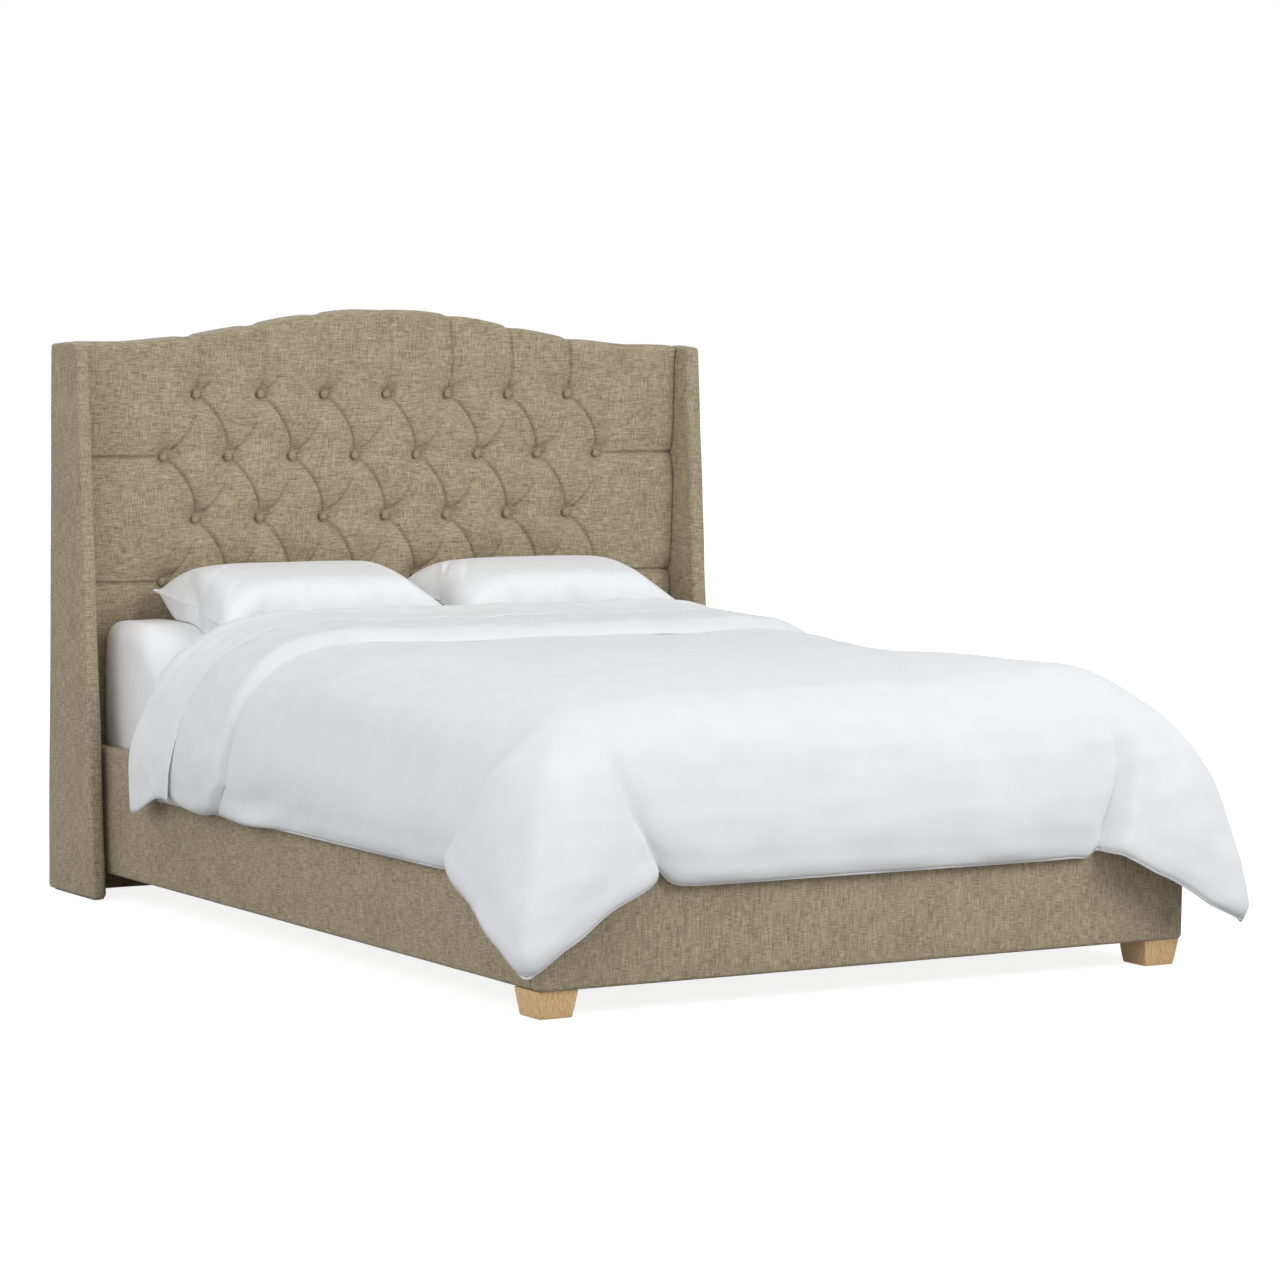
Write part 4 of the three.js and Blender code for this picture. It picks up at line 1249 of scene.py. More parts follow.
    def covered_button(self, x: float, z: float, face: float) -> tuple[np.ndarray, np.ndarray]:
        """One domed button with the cloth drawn round it.

        Args:
            x: Across the headboard.
            z: Height.
            face: The highest part of the dome, as y.

        Returns:
            Points and faces.
        """
        profile = (
            (0.0, 0.0), (0.3, 0.02), (0.55, 0.09), (0.76, 0.22), (0.91, 0.42),
            (1.0, 0.68), (0.98, 0.9), (0.8, 1.1), (0.5, 1.15),
        )  # fmt: skip
        turn = 2 * math.pi * np.arange(self.button_sides) / self.button_sides
        rings = []
        for share, deep in profile:
            radius = max(share, 0.02) * self.button_radius * (1 + 0.03 * np.cos(7 * turn) * share**2)
            y = np.full(len(turn), face + deep * self.button_dome)
            rings.append(np.column_stack([x + radius * np.cos(turn), y, z + radius * np.sin(turn)]))
        return capped(rings)

    def button_pieces(self) -> None:
        """The covered buttons of each row."""
        face = self.face + self.pocket_depth - self.button_sink
        for number, row in enumerate(self.buttons, 1):
            parts = [self.covered_button(x, z, face) for x, z in row]
            made = make_piece(f"covered_buttons_row_{number}", *joined(parts), BUTTON_LINEN)
            attach(made, "bed_frame", "linen", f"button_row_{number}")

    def back_cloth(self) -> None:
        """Cloth over the back, stapled all round and slack between the timbers."""
        low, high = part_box("headboard_back_cloth")
        half, bottom, columns = high.x - 0.004, low.z + 0.002, 80
        v = np.linspace(0, 1, 60)[:, None]
        x = np.linspace(-half, half, columns)[None] + 0 * v
        z = bottom + v * (self.arch(x) - 0.006 - bottom)
        timbers = [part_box(f"headboard_{name}_rail") for name in ("bottom", "middle", "crown")]
        sag = np.zeros(x.shape)
        for (_, under), (over, _) in zip(timbers, timbers[1:]):
            slack = np.sin(math.pi * np.clip((z - under.z) / (over.z - under.z), 0, 1))
            sag += slack * np.cos(math.pi / 2 * np.clip(x / (high.x - 0.08), -1, 1))
        y = high.y - 0.0002 - sag * (0.0018 + 0.0006 * ripple(x, z, 0.2, 21))
        outer = np.stack([x, y, z], axis=2)
        cloth = make_piece("stapled_back_cloth", *shell(outer, outer - np.array([0, 0.0004, 0])), BACK_CLOTH)
        attach(cloth, "bed_frame", "back_cloth", "headboard_back_cloth")

    def build(self) -> None:
        """Builds the cover, its buttons and the back cloth."""
        attach(self.cover(), "bed_frame", "linen", "headboard_cover")
        self.button_pieces()
        self.back_cloth()


# ------------------------------------------------------------------ mattress


@dataclass
class Mattress:
    """The mattress as it lies under the bedding, and the fitted sheet stretched over it."""

    places: Places
    press: float = 0.089
    press_reach: float = 0.332
    press_corner: int = 4
    head_level: tuple[float, float] = (0.25, 0.45)
    edge_radius: float = 0.075
    head_radius: float = 0.036
    head_rise: float = 0.027
    head_gap: float = 0.0165
    head_corner: Point = (0.66, 0.16)
    end_radius: float = 0.04
    bulge: float = 0.004
    corner_reach: float = 0.03
    corner_draw: float = 0.006
    sheet_drop: float = 0.30

    @property
    def head(self) -> float:
        """Finds the head end, which clears the tufting when the mattress is lifted."""
        return self.places.mattress_head - self.head_gap

    def pressed(self, x: np.ndarray, y: np.ndarray, z: np.ndarray) -> np.ndarray:
        """Height of a point once the top is pressed down along its sides and foot.

        Args:
            x: Across the bed.
            y: Along the bed.
            z: Height on the level mattress.

        Returns:
            The lower heights.
        """
        most = 1 + (self.places.rail_face - self.places.mattress_half) / self.press_reach
        side = np.clip(1 + (np.abs(x) - self.places.mattress_half) / self.press_reach, 0, most) ** 2
        foot = np.clip(1 + (self.places.mattress_foot - y) / self.press_reach, 0, most) ** 2
        power = self.press_corner
        drop = self.press * (side**power + foot**power) ** (1 / power)
        base = self.places.mattress_bottom
        share = np.clip((z - base) / (self.places.mattress_top - base), 0, 1)
        head = ease(self.places.back - y, *self.head_level)
        corner, reach = self.head_corner
        puff = self.head_rise * bump(np.minimum(np.abs(x), corner), corner, reach) * (1 - head)
        return z - drop * share * head + puff * share

    def over(
        self, place: np.ndarray, half: float, radius: np.ndarray | float, top: float, low: float
    ) -> tuple[np.ndarray, np.ndarray]:
        """Goes from the middle of the top (0) over its edge (1 to 2) and down to the lower edge (3).

        Args:
            place: Signed place on the way.
            half: Half the width.
            radius: Radius of the edge.
            top: Height of the top.
            low: Height of the lower edge.

        Returns:
            Distance from the middle, and height.
        """
        way = np.abs(place)
        turn = np.clip(way - 1, 0, 1) * math.pi / 2
        out = np.minimum(way, 1) * (half - radius) + radius * np.sin(turn)
        down = radius * (1 - np.cos(turn)) + np.clip(way - 2, 0, 1) * (top - radius - low)
        return np.sign(place) * out, top - down

    def surface(self, margin: float, low: float) -> np.ndarray:
        """The top and sides as one grid.

        Args:
            margin: How far outside the ticking.
            low: Height of the lower edge.

        Returns:
            Rows x columns x 3, rows along the bed.
        """
        flat, edge, side = np.linspace(0, 1, 44), np.linspace(1, 2, 11), np.linspace(2, 3, 12)
        steps = np.concatenate([flat[:-1], edge[:-1], side])
        ways = np.concatenate([-steps[:0:-1], steps])
        across, along = np.meshgrid(ways, ways)
        half, top = self.places.mattress_half + margin, self.places.mattress_top + margin
        head, foot = self.head + margin, self.places.mattress_foot - margin
        long, middle = (head - foot) / 2, (head + foot) / 2
        y, end_z = self.over(along, long, self.end_radius + margin, top, low)
        depth = self.places.back - y - middle
        radius = self.head_radius + (self.edge_radius - self.head_radius) * ease(depth, 0.15, 0.5) + margin
        x, side_z = self.over(across, half, radius, top, low)
        z = np.minimum(side_z, end_z)
        sides = np.sin(math.pi * np.clip((z - low) / (top - low), 0, 1))
        x = x + np.sign(x) * self.bulge * sides * (np.abs(across) > 1.5) * (1 - ease(depth, 0.5, 0.7))
        corner = self.corner_draw * ease(np.abs(x), half - self.corner_reach, half)
        corner = corner * ease(np.abs(y), long - self.corner_reach, long)
        x, y = x - np.sign(x) * corner, middle + y - np.sign(y) * corner
        return np.stack([x, y, self.pressed(x, y, z)], axis=2)

    def build(self) -> None:
        """Builds the ticking-covered mattress and the fitted sheet."""
        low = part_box("mattress")[0].z
        outer = self.surface(0.0, low + 0.012)
        under = outer.copy()
        under[..., 2] = low + 0.0005
        middle = np.array([0, (self.head + self.places.mattress_foot) / 2])
        under[..., :2] = middle + (under[..., :2] - middle) * np.array([0.985, 0.988])
        body = make_piece("ticking_mattress", *shell(outer, under), TICKING)
        attach(body, "mattress_body", "ticking", "mattress")
        self.fitted_sheet()

    def fitted_sheet(self) -> None:
        """The sheet over the mattress, gathered under its lower edge."""
        low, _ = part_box("fitted_sheet")
        inner, outer = self.surface(0.0012, low.z), self.surface(0.0022, low.z)
        x, y, z = (outer[..., k] for k in range(3))
        near_head = 1 - ease(self.places.back - y, 0.4, 0.5)
        wave = 0.0012 * ripple(x, y, 0.12, 31) * near_head
        gather = 0.0016 * ripple(x + y, z * 0.3, 0.07, 32) * (1 - ease(z, low.z, low.z + 0.09)) * near_head
        for face in (inner, outer):
            face[..., 2] += wave
            face[..., 0] += np.sign(x) * gather * (np.abs(x) > self.places.mattress_half - 0.01)
        sheet = make_piece("stretched_fitted_sheet", *shell(outer, inner), FITTED_COTTON)
        attach(sheet, "mattress_body", "white_cotton", "fitted_sheet")


# ------------------------------------------------------------------ duvet


# Guide points: mm out from a rail's face and mm above the top of the mattress.
HANG_PROFILE = (
    (-190, 3), (-138, -14), (-95, -35), (-60, -56), (-28, -90), (-6, -129), (16, -182), (29, -226),
    (36, -276), (36, -316), (30, -350),
)  # fmt: skip
BELOW_HEM = ((34, -362), (31, -400))

# The duvet's corner hangs as an ear. Each guide runs from the mattress's corner down to the hem:
# mm along the rail past its corner, mm out from the rail's face, mm above the top of the mattress.
EAR_GUIDES: tuple[tuple[float, tuple[tuple[float, float, float], ...]], ...] = (
    (0.0, ((-190, -190, -11), (-196, -150, -20), (-198, -108, -38), (-194, -58, -73), (-188, -22, -112),
           (-199, 10, -202), (-236, 17, -272), (-254, 18, -312))),
    (0.06, ((-190, -190, -11), (-186, -142, -23), (-180, -96, -41), (-171, -44, -75), (-165, 2, -112),
            (-181, 44, -202), (-214, 62, -272), (-236, 67, -318))),
    (0.17, ((-190, -190, -11), (-172, -136, -26), (-158, -86, -46), (-142, -36, -79), (-130, 8, -114),
            (-136, 60, -204), (-166, 78, -272), (-190, 88, -325), (-196, 89, -348))),
    (0.31, ((-190, -190, -11), (-162, -136, -27), (-138, -88, -50), (-110, -42, -82), (-90, 4, -118),
            (-78, 60, -206), (-88, 82, -272), (-97, 95, -325), (-100, 102, -388))),
    (0.43, ((-190, -190, -11), (-154, -142, -27), (-120, -98, -51), (-80, -52, -82), (-52, -8, -124),
            (-20, 50, -208), (-14, 73, -265), (-7, 93, -325), (-2, 107, -400), (0, 113, -448))),
    (0.5, ((-190, -190, -11), (-142, -142, -28), (-98, -98, -50), (-56, -56, -74), (-30, -30, -96),
           (-2, -2, -142), (26, 26, -205), (46, 46, -258), (65, 65, -324), (84, 84, -398), (95, 95, -452),
           (98, 96, -490), (94, 91, -507))),
)  # fmt: skip


@dataclass
class DuvetForm:
    """The outer face of the duvet, as a grid that runs over the bed and down to its hem."""

    places: Places
    crown: float = 0.036
    crown_drop: float = 0.033
    inset: float = 0.190
    levels: int = 54
    top_columns: int = 92
    top_rows: int = 100
    lean_reach: float = 0.10
    dip_reach: float = 0.045
    head_rise: float = 0.019
    right_rise: float = 0.028
    front_drop: float = 0.010
    ear_drop: float = 0.024
    notch_drop: float = 0.026
    right_swell: float = 0.013
    apex_lift: float = 0.017
    apex_reach: float = 0.17
    hang: Point = (0.10, 0.18)
    front_end: Point = (-0.12, 0.03)
    ear_start: Point = (-0.07, 0.05)
    ear_end: Point = (0.17, 0.28)
    notch: Point = (-0.062, 0.040)
    side_stretch: float = 1.12

    @property
    def flat_half(self) -> float:
        """Measures the part that lies on the mattress."""
        return self.places.rail_face - self.inset

    @property
    def flat_foot(self) -> float:
        """Finds where the duvet starts to fall over the foot."""
        return self.places.foot_face + self.inset

    def crown_fall(self, share: np.ndarray) -> np.ndarray:
        """How far the top falls from its middle to where it turns down."""
        return self.crown_drop * np.clip(share, 0, 1) ** 3.2

    def top_height(self, x: np.ndarray, y: np.ndarray) -> np.ndarray:
        """Height of the top above the mattress's top.

        Args:
            x: Across the bed.
            y: Along the bed.

        Returns:
            The heights.
        """
        side = self.crown_fall(np.abs(x) / self.flat_half)
        foot = self.crown_fall(1 - (y - self.flat_foot) / 0.62)
        return self.crown - np.hypot(side, foot)

    def rise(self, x: np.ndarray, y: np.ndarray) -> np.ndarray:
        """Extra loft near the head on both sides, and towards the foot on the right.

        Args:
            x: Across the bed.
            y: Along the bed.

        Returns:
            The loft in metres.
        """
        along = self.places.head_face - y
        head = self.head_rise * ease(np.abs(x), 0.25, 0.60) * (1 - ease(along, 0.75, 1.45))
        return head + self.right_rise * ease(x, 0.20, 0.58) * ease(along, 1.25, 1.80)

    def relaxed(self, points: np.ndarray, level: np.ndarray) -> np.ndarray:
        """Lifts the grid by its extra loft, lowers the front hem and smooths where the ears start.

        Args:
            points: Rows x columns x 3.
            level: 0 on top to 1 at the hem.

        Returns:
            The settled points.
        """
        half, foot = self.flat_half, self.flat_foot
        across, past_foot = points[..., 0], foot - points[..., 1]
        x, y = np.clip(across, -half, half), np.maximum(points[..., 1], foot)
        hanging = ease(past_foot, *self.hang)
        front = self.front_drop * (1 - ease(np.abs(across) - half, *self.front_end))
        ear = ease(across - half, *self.ear_start) * (1 - ease(across - half, *self.ear_end))
        notch = self.notch_drop * bump(across - half, *self.notch)
        right = ease(across, half - 0.05, half + 0.15) * ease(past_foot + 0.25, 0, 0.3)
        swell = self.right_swell * right * np.sin(math.pi * np.clip(level, 0, 1)) ** 0.8
        away = np.hypot(np.abs(across + swell) - half - 0.05, past_foot - 0.05)
        apex = self.apex_lift * bump(away, 0, 0.13) * (across + swell > 0)
        points = points.copy()
        points[..., 0] += swell
        points[..., 2] += self.rise(x, y) * (1 - level) ** 0.75 + apex
        points[..., 2] -= hanging * (front + self.ear_drop * ear + notch) * level**2
        mask = (0.9 * bump(away, 0, self.apex_reach) * (1 - ease(level, 0.5, 0.85)))[1:-1, 1:-1, None]
        for _ in range(15):
            around = points[:-2, 1:-1] + points[2:, 1:-1] + points[1:-1, :-2] + points[1:-1, 2:]
            points[1:-1, 1:-1] += mask * (around / 4 - points[1:-1, 1:-1])
        return points

    def profile(self) -> np.ndarray:
        """Traces the hanging side at evenly spaced levels."""
        return evenly(np.array(HANG_PROFILE) * MM, self.levels + 1)

    def ear(self) -> np.ndarray:
        """The corner's surface, whose crease lies further from the corner on the side than in front.

        Returns:
            Guides from the side's crease to the front's, each as levels x (along, out, up).
        """
        side, front = [], []
        for _, points in EAR_GUIDES:
            guide = evenly(np.array(points, float) * MM, self.levels + 1)
            along, out, up = guide.T
            fade = np.linspace(0, 1, len(up)) ** 2
            stretched = np.where(along < 0, along * (1 + (self.side_stretch - 1) * fade), along)
            side.append(np.column_stack([out, stretched, up]))
            front.append(np.column_stack([along, out, up]))
        return np.array(side + front[-2::-1])

    def ear_places(self) -> np.ndarray:
        """Places the guides between the side's crease and the front's."""
        first = [place for place, _ in EAR_GUIDES]
        return np.array(first + [1 - place for place in first[-2::-1]])

    def hung(self, away: np.ndarray, crease: np.ndarray, start_up: np.ndarray) -> np.ndarray:
        """Hanging cloth beside the ear, at some distance from the corner.

        Args:
            away: Distance of each station from the ear, along the rail.
            crease: Levels x (along, out, up) of the crease.
            start_up: Height of the top at each station.

        Returns:
            Stations x levels x (along, out, up).
        """
        lean, dip = (np.exp(-((away / reach) ** 1.2))[:, None] for reach in (self.lean_reach, self.dip_reach))
        along = -self.inset - away[:, None] + (crease[:, 0] + self.inset)[None] * lean
        out, up = (self.profile()[:, k] * (1 - dip) + crease[:, k + 1] * dip for k in range(2))
        level = np.linspace(0, 1, self.levels + 1)[None]
        lift = (start_up[:, None] - up[:, :1]) * np.clip(1 - level * 3, 0, 1) ** 2
        return np.stack([along, out, up + lift], axis=2)

    def on_bed(self, sign: float | np.ndarray, places: np.ndarray) -> np.ndarray:
        """Turns places beside a corner of the rails into points.

        Args:
            sign: -1 on the left and 1 on the right.
            places: (along, out, up) from the corner and the mattress's top.

        Returns:
            Points (x, y, z).
        """
        along, out, up = (places[..., k] for k in range(3))
        x, y = sign * (self.places.rail_face + along), self.places.foot_face - out
        return np.stack([x, y, self.places.mattress_top + up], axis=-1)

    def grid(self, head: float) -> np.ndarray:
        """All points of the outer face.

        Args:
            head: Where the duvet's head edge lies, as y.

        Returns:
            Rows x columns x 3, from the head to the foot and from left to right.
        """
        n, half, foot = self.levels, self.flat_half, self.flat_foot
        last_row, last_column = self.top_rows, n + self.top_columns
        xs, ys = np.linspace(-half, half, self.top_columns + 1), np.linspace(head, foot, last_row + 1)
        points = np.zeros((last_row + 1 + n, last_column + 1 + n, 3))
        x, y = np.meshgrid(xs, ys)
        flat = np.stack([x, y, self.places.mattress_top + self.top_height(x, y)], axis=2)
        points[: last_row + 1, n : last_column + 1] = flat
        ear = self.ear()
        side = self.hung(ys - foot, ear[0][:, [1, 0, 2]], self.top_height(np.full(len(ys), half), ys))
        points[: last_row + 1, : n + 1] = self.on_bed(-1, side[..., [1, 0, 2]])[:, ::-1]
        points[: last_row + 1, last_column:] = self.on_bed(1, side[..., [1, 0, 2]])
        front = self.hung(half - np.abs(xs), ear[-1], self.top_height(xs, np.full(len(xs), foot)))
        block = self.on_bed(np.sign(xs)[:, None], front)
        block[np.abs(xs) < 1e-9, :, 0] = 0
        points[last_row:, n : last_column + 1] = block.transpose(1, 0, 2)
        for k in range(1, n + 1):
            ahead, behind = np.arange(k + 1), np.arange(k - 1, -1, -1)
            shares = np.concatenate([ahead / (2 * k), 1 - behind / (2 * k)])
            ring = spline(self.ear_places(), ear[:, k], shares)
            rows = last_row + np.concatenate([ahead, np.full(k, k)])
            steps = np.concatenate([np.full(k + 1, k), behind])
            points[rows, n - steps] = self.on_bed(-1, ring)
            points[rows, last_column + steps] = self.on_bed(1, ring)
        return self.relaxed(points, self.levels_of(*points.shape[:2]))

    def levels_of(self, rows: int, columns: int) -> np.ndarray:
        """Share of the way from the top's edge down to the hem.

        Args:
            rows: Rows of the grid.
            columns: Columns of the grid.

        Returns:
            The share at each point.
        """
        n = self.levels
        row_level = np.clip(np.arange(rows) - self.top_rows, 0, n) / n
        from_middle = np.abs(np.arange(columns) - (columns - 1) / 2)
        column_level = np.clip(from_middle - self.top_columns / 2, 0, n) / n
        return np.maximum(row_level[:, None], column_level[None])


@dataclass
class Duvet:
    """The single layer of the duvet over the bed, with its hem seam."""

    places: Places
    form: DuvetForm
    loft: float = 0.023
    hem: float = 0.006
    hem_reach: float = 0.032
    drawn_in: float = 0.35
    fold_from_face: float = 0.436
    seam_radius: float = 0.0032
    swell: float = 0.0026
    pucker: float = 0.0009
    swing: float = 0.0035
    dimple: float = 0.010
    lip: float = 0.014
    groove: float = 0.0018
    ear_creases: Point = (0.0025, 0.0045)

    def __post_init__(self) -> None:
        """Works out the outer face and its normals, which point out of the duvet."""
        self.face = self.form.grid(self.places.head_face - self.fold_from_face)
        self.normals = grid_normals(self.face)
        if self.normals[10, self.form.levels + 20, 2] < 0:
            self.normals = -self.normals

    def puckered(self, level: np.ndarray) -> np.ndarray:
        """The outer face with its soft hollows, its dimple and lip near the head, and its creases.

        Args:
            level: 0 on top to 1 at the hem.

        Returns:
            The moved points.
        """
        x, y, z = (self.face[..., k] for k in range(3))
        soft = self.swell * ripple(x + z, y + z * 0.6, 0.34, 41)
        soft = soft + self.pucker * ripple(x - z, y + z, 0.10, 42)
        hanging = ease(level, 0.2, 0.7) * (1 - ease(level, 0.93, 1.0))
        swing = self.swing * ripple((x - y) * 0.9, z * 0.35, 0.21, 43) * hanging
        below, past = self.places.mattress_top - z, self.places.head_face - y
        slope = below - 0.30 + 0.25 * (past - 0.95)
        dimple = self.dimple * bump(past, 0.95, 0.10) * bump(slope, 0, 0.034) * (np.abs(x) > 0.7)
        lip = self.lip * bump(past, 0.89, 0.10) * bump(below, 0.350, 0.022)
        groove = self.groove * bump(level, 0.90, 0.04)
        moved = (soft + swing) * (1 - 0.7 * ease(level, 0.96, 1)) - dimple + lip - groove
        outer = self.face + self.normals * moved[..., None]
        outer[..., 2] -= 0.25 * lip
        first, n = self.form.top_rows + 1, self.form.levels
        for column, depth in zip((n, -1 - n), self.ear_creases):
            way = level[first:, column]
            line = depth * ease(way, 0.28, 0.5) * (1 - ease(way, 0.9, 1))
            outer[first:, column] -= self.normals[first:, column] * line[:, None]
        return outer

    def body(self) -> bpy.types.Object:
        """Builds the layer, thin at its hem and at its head end.

        Returns:
            The duvet.
        """
        rows, columns = self.face.shape[:2]
        level = self.form.levels_of(rows, columns)
        near = np.minimum(0.45 * (1 - level), np.arange(rows)[:, None] * (2.0 / rows))
        thick = self.hem + (self.loft - self.hem) * quarter_round(near / self.hem_reach)
        outer = self.puckered(level) - self.normals * (self.drawn_in * (self.loft - thick))[..., None]
        inner = outer - self.normals * thick[..., None]
        return make_piece("cotton_duvet", *shell(outer, inner), DUVET_COTTON)

    def seam(self) -> bpy.types.Object:
        """Builds the rolled seam along the hem.

        Returns:
            The seam.
        """
        middle = self.face - self.normals * (self.drawn_in * (self.loft - self.hem) + self.hem / 2)
        path = np.concatenate([middle[:, 0], middle[-1, 1:], middle[-2::-1, -1]])
        return make_piece("duvet_hem_seam", *tube(evenly(path, 700), self.seam_radius), DUVET_COTTON)

    def build(self) -> None:
        """Builds the duvet and its seam."""
        attach(self.body(), "bedding", "white_cotton", "duvet")
        attach(self.seam(), "bedding", "white_cotton")


@dataclass
class HeadBundle:
    """The duvet's end turned back, and the sheet folded down over it."""

    places: Places
    form: DuvetForm
    columns: int = 240
    loft: float = 0.0265
    turned_start: float = 0.432
    turned_end_side: float = 0.803
    turned_end_bow: float = 0.105
    fold: float = 0.437
    lobe_drop: float = 0.331
    lobe_bow: float = 0.024
    lobe_lift: float = 0.050
    end_roll: Point = (0.062, 0.030)
    side_roll: float = 0.028
    sheet_under: float = 0.62
    sheet_below: float = -0.0255
    sheet_thick: float = 0.0012
    sheet_down: float = 0.155
    sheet_longer: float = 0.05
    sheet_back: float = 0.050
    sheet_proud: float = 0.008
    sheet_hem: float = 0.378
    hem_rise: float = 0.046
    hem_tuck: float = 0.03

    def section(self, along: np.ndarray) -> tuple[np.ndarray, np.ndarray]:
        """The duvet's outer face across the bed, with its normals.

        Args:
            along: Signed distances over the cloth from the middle of the bed.

        Returns:
            Points and normals as (x, z), one for each distance.
        """
        form, half = self.form, self.form.flat_half
        xs = np.linspace(0, half, 60)
        at_head = np.full(xs.shape, self.places.head_face - 0.5)
        top = np.column_stack([xs, form.crown - form.crown_fall(xs / half) + form.rise(xs, at_head)])
        hang = np.array(HANG_PROFILE[:-1] + BELOW_HEM) * MM
        hang = evenly(hang + np.array([self.places.rail_face, 0]), 120)
        hang[:, 1] += form.head_rise * (1 - np.linspace(0, 1, 120)) ** 1.2
        line = np.concatenate([top, hang[1:]])
        run = run_along(line)
        tangent = unit(np.gradient(line, run, axis=0))
        for _ in range(6):
            tangent[1:-1] = (tangent[:-2] + tangent[1:-1] * 2 + tangent[2:]) / 4
        away, sign = np.abs(along), np.where(along < 0, -1.0, 1.0)
        px, pz, tx, tz = (np.interp(away, run, part) for part in (*line.T, *tangent.T))
        points = np.stack([sign * px, self.places.mattress_top + pz], axis=-1)
        return points, np.stack([sign * -tz, tx], axis=-1)

    def run_to(self, height: np.ndarray) -> np.ndarray:
        """Distance over the cloth from the middle down to a height on the side.

        Args:
            height: The height above the floor.

        Returns:
            The distances.
        """
        runs = np.linspace(0.7, 1.13, 300)
        points, _ = self.section(runs)
        return np.interp(-np.asarray(height), -points[:, 1], runs)

    def placed(self, along: np.ndarray, y: np.ndarray, height: np.ndarray) -> np.ndarray:
        """Points at a height over the duvet's outer face.

        Args:
            along: Signed distances over the cloth from the middle of the bed.
            y: Along the bed.
            height: Height over the face.

        Returns:
            Rows x columns x 3.
        """
        points, normals = self.section(along)
        lifted = points + normals * height[..., None]
        return np.stack([lifted[..., 0], y, lifted[..., 1]], axis=-1)

    def thickness(self, along: np.ndarray, y: np.ndarray) -> np.ndarray:
        """Height of the turned-back duvet's top over the layer below."""
        return self.loft + 0.0022 * ripple(along, y, 0.16, 51) + 0.0008 * ripple(along, y, 0.05, 52)

    def turned_back(self) -> bpy.types.Object:
        """Builds the second thickness of the duvet, round and plump at its end and its sides.

        Returns:
            The turned-back end.
        """
        v, u = np.linspace(0, 1, 84)[:, None] ** 0.9, np.linspace(-1, 1, self.columns)[None]
        end = self.turned_end_side + self.turned_end_bow * (1 - ease(np.abs(u), 0.3, 0.72))
        length = end - self.turned_start
        bow = np.sin(math.pi * np.clip((v - 0.35) / 0.62, 0, 1)) ** 0.8
        lobe = self.places.mattress_top - self.lobe_drop - self.lobe_bow * bow
        lobe = lobe + self.lobe_lift * ease(v, 0.86, 1.0) ** 1.5
        reach = self.run_to(np.repeat(lobe, self.columns, axis=1))
        along, y = u * reach, self.places.head_face - self.turned_start - length * v
        side_gap, end_gap, head_gap = (1 - np.abs(u)) * reach, (1 - v) * length, v * length + 0.004
        side = ease(np.abs(along), 0.62, 0.80)
        end_share = np.clip(end_gap / (self.end_roll[0] - self.end_roll[1] * side), 0, 1)
        end_round = (1 - side) * (1 - (1 - end_share) ** 2) + side * quarter_round(end_share)
        rounded = np.minimum(quarter_round(np.minimum(side_gap, head_gap) / self.side_roll), end_round)
        top = 0.0022 + (self.thickness(along, y) - 0.0012) * rounded
        top = top - 0.0030 * (1 - ease(end_gap, 0.0, 0.006))
        low = 0.0006 - 0.0026 * (1 - ease(end_gap, 0.0, 0.012)) + 0 * top
        closed = shell(self.placed(along, y, top), self.placed(along, y, low))
        return make_piece("duvet_turned_back", *closed, DUVET_COTTON)

    def folded_sheet(self) -> bpy.types.Object:
        """Builds the sheet from under the duvet, round its head end and down over it.

        Returns:
            The sheet.
        """
        under = self.sheet_below
        u = np.linspace(-1, 1, self.columns)[None]
        side = ease(np.abs(u), 0.66, 0.9)
        fold = self.fold - self.sheet_back * side
        lower = np.linspace(self.sheet_under, 0, 24)[:-1, None]
        turn = np.linspace(0, math.pi, 22)[:, None]
        upper = np.linspace(0, 1, 34)[1:, None]
        end = self.sheet_down + self.sheet_longer * (1 - ease(np.abs(u), 0.35, 0.75)) + self.sheet_back * side
        proud = self.sheet_proud * (1 - side)
        over = self.thickness(u * 0.98, self.places.head_face - fold) + 0.0034 + proud
        radius, middle = (over - under) / 2, (over + under) / 2
        distance = np.concatenate([fold + lower, fold - radius * np.sin(turn), fold + upper * end])
        past = np.clip((distance - fold + radius) / (end + radius), 0, 1)
        # 1 under the duvet, 0 over it.
        tucked = np.concatenate([lower * 0 + 1, 1 - turn / math.pi, upper * 0])
        hem = self.places.mattress_top - self.sheet_hem
        hem = hem + self.hem_rise * ease(past, 0.1, 0.75) + self.hem_tuck * tucked
        reach = self.run_to(hem)
        along, y = u * reach, self.places.head_face - distance
        settled = self.thickness(along, y) + 0.0016 + proud * bump(distance, fold, 0.06)
        blend = ease(np.concatenate([lower * 0, turn * 0, upper * self.sheet_down]), 0.0, 0.05)
        rolled = middle - radius * np.cos(turn)
        height = np.concatenate([under + 0 * (lower + u), rolled, over + 0 * (upper + u)])
        height = height * (1 - blend) + settled * blend
        height = height - 0.0018 * bump(distance, fold + 0.035, 0.010) * (1 - tucked)
        height = height + 0.010 * ease(np.abs(u), 0.86, 1.0) * ease(past, 0.80, 1.0)
        half = self.sheet_thick / 2 * np.where(height > middle, 1.0, -1.0)
        closed = shell(self.placed(along, y, height + half), self.placed(along, y, height - half))
        sheet = make_piece("sheet_turned_down", *closed, SHEET_COTTON)
        return sheet

    def build(self) -> None:
        """Builds the turned-back end and the folded sheet."""
        attach(self.turned_back(), "bedding", "white_cotton")
        attach(self.folded_sheet(), "bedding", "white_cotton", "flat_sheet")


# ------------------------------------------------------------------ pillows


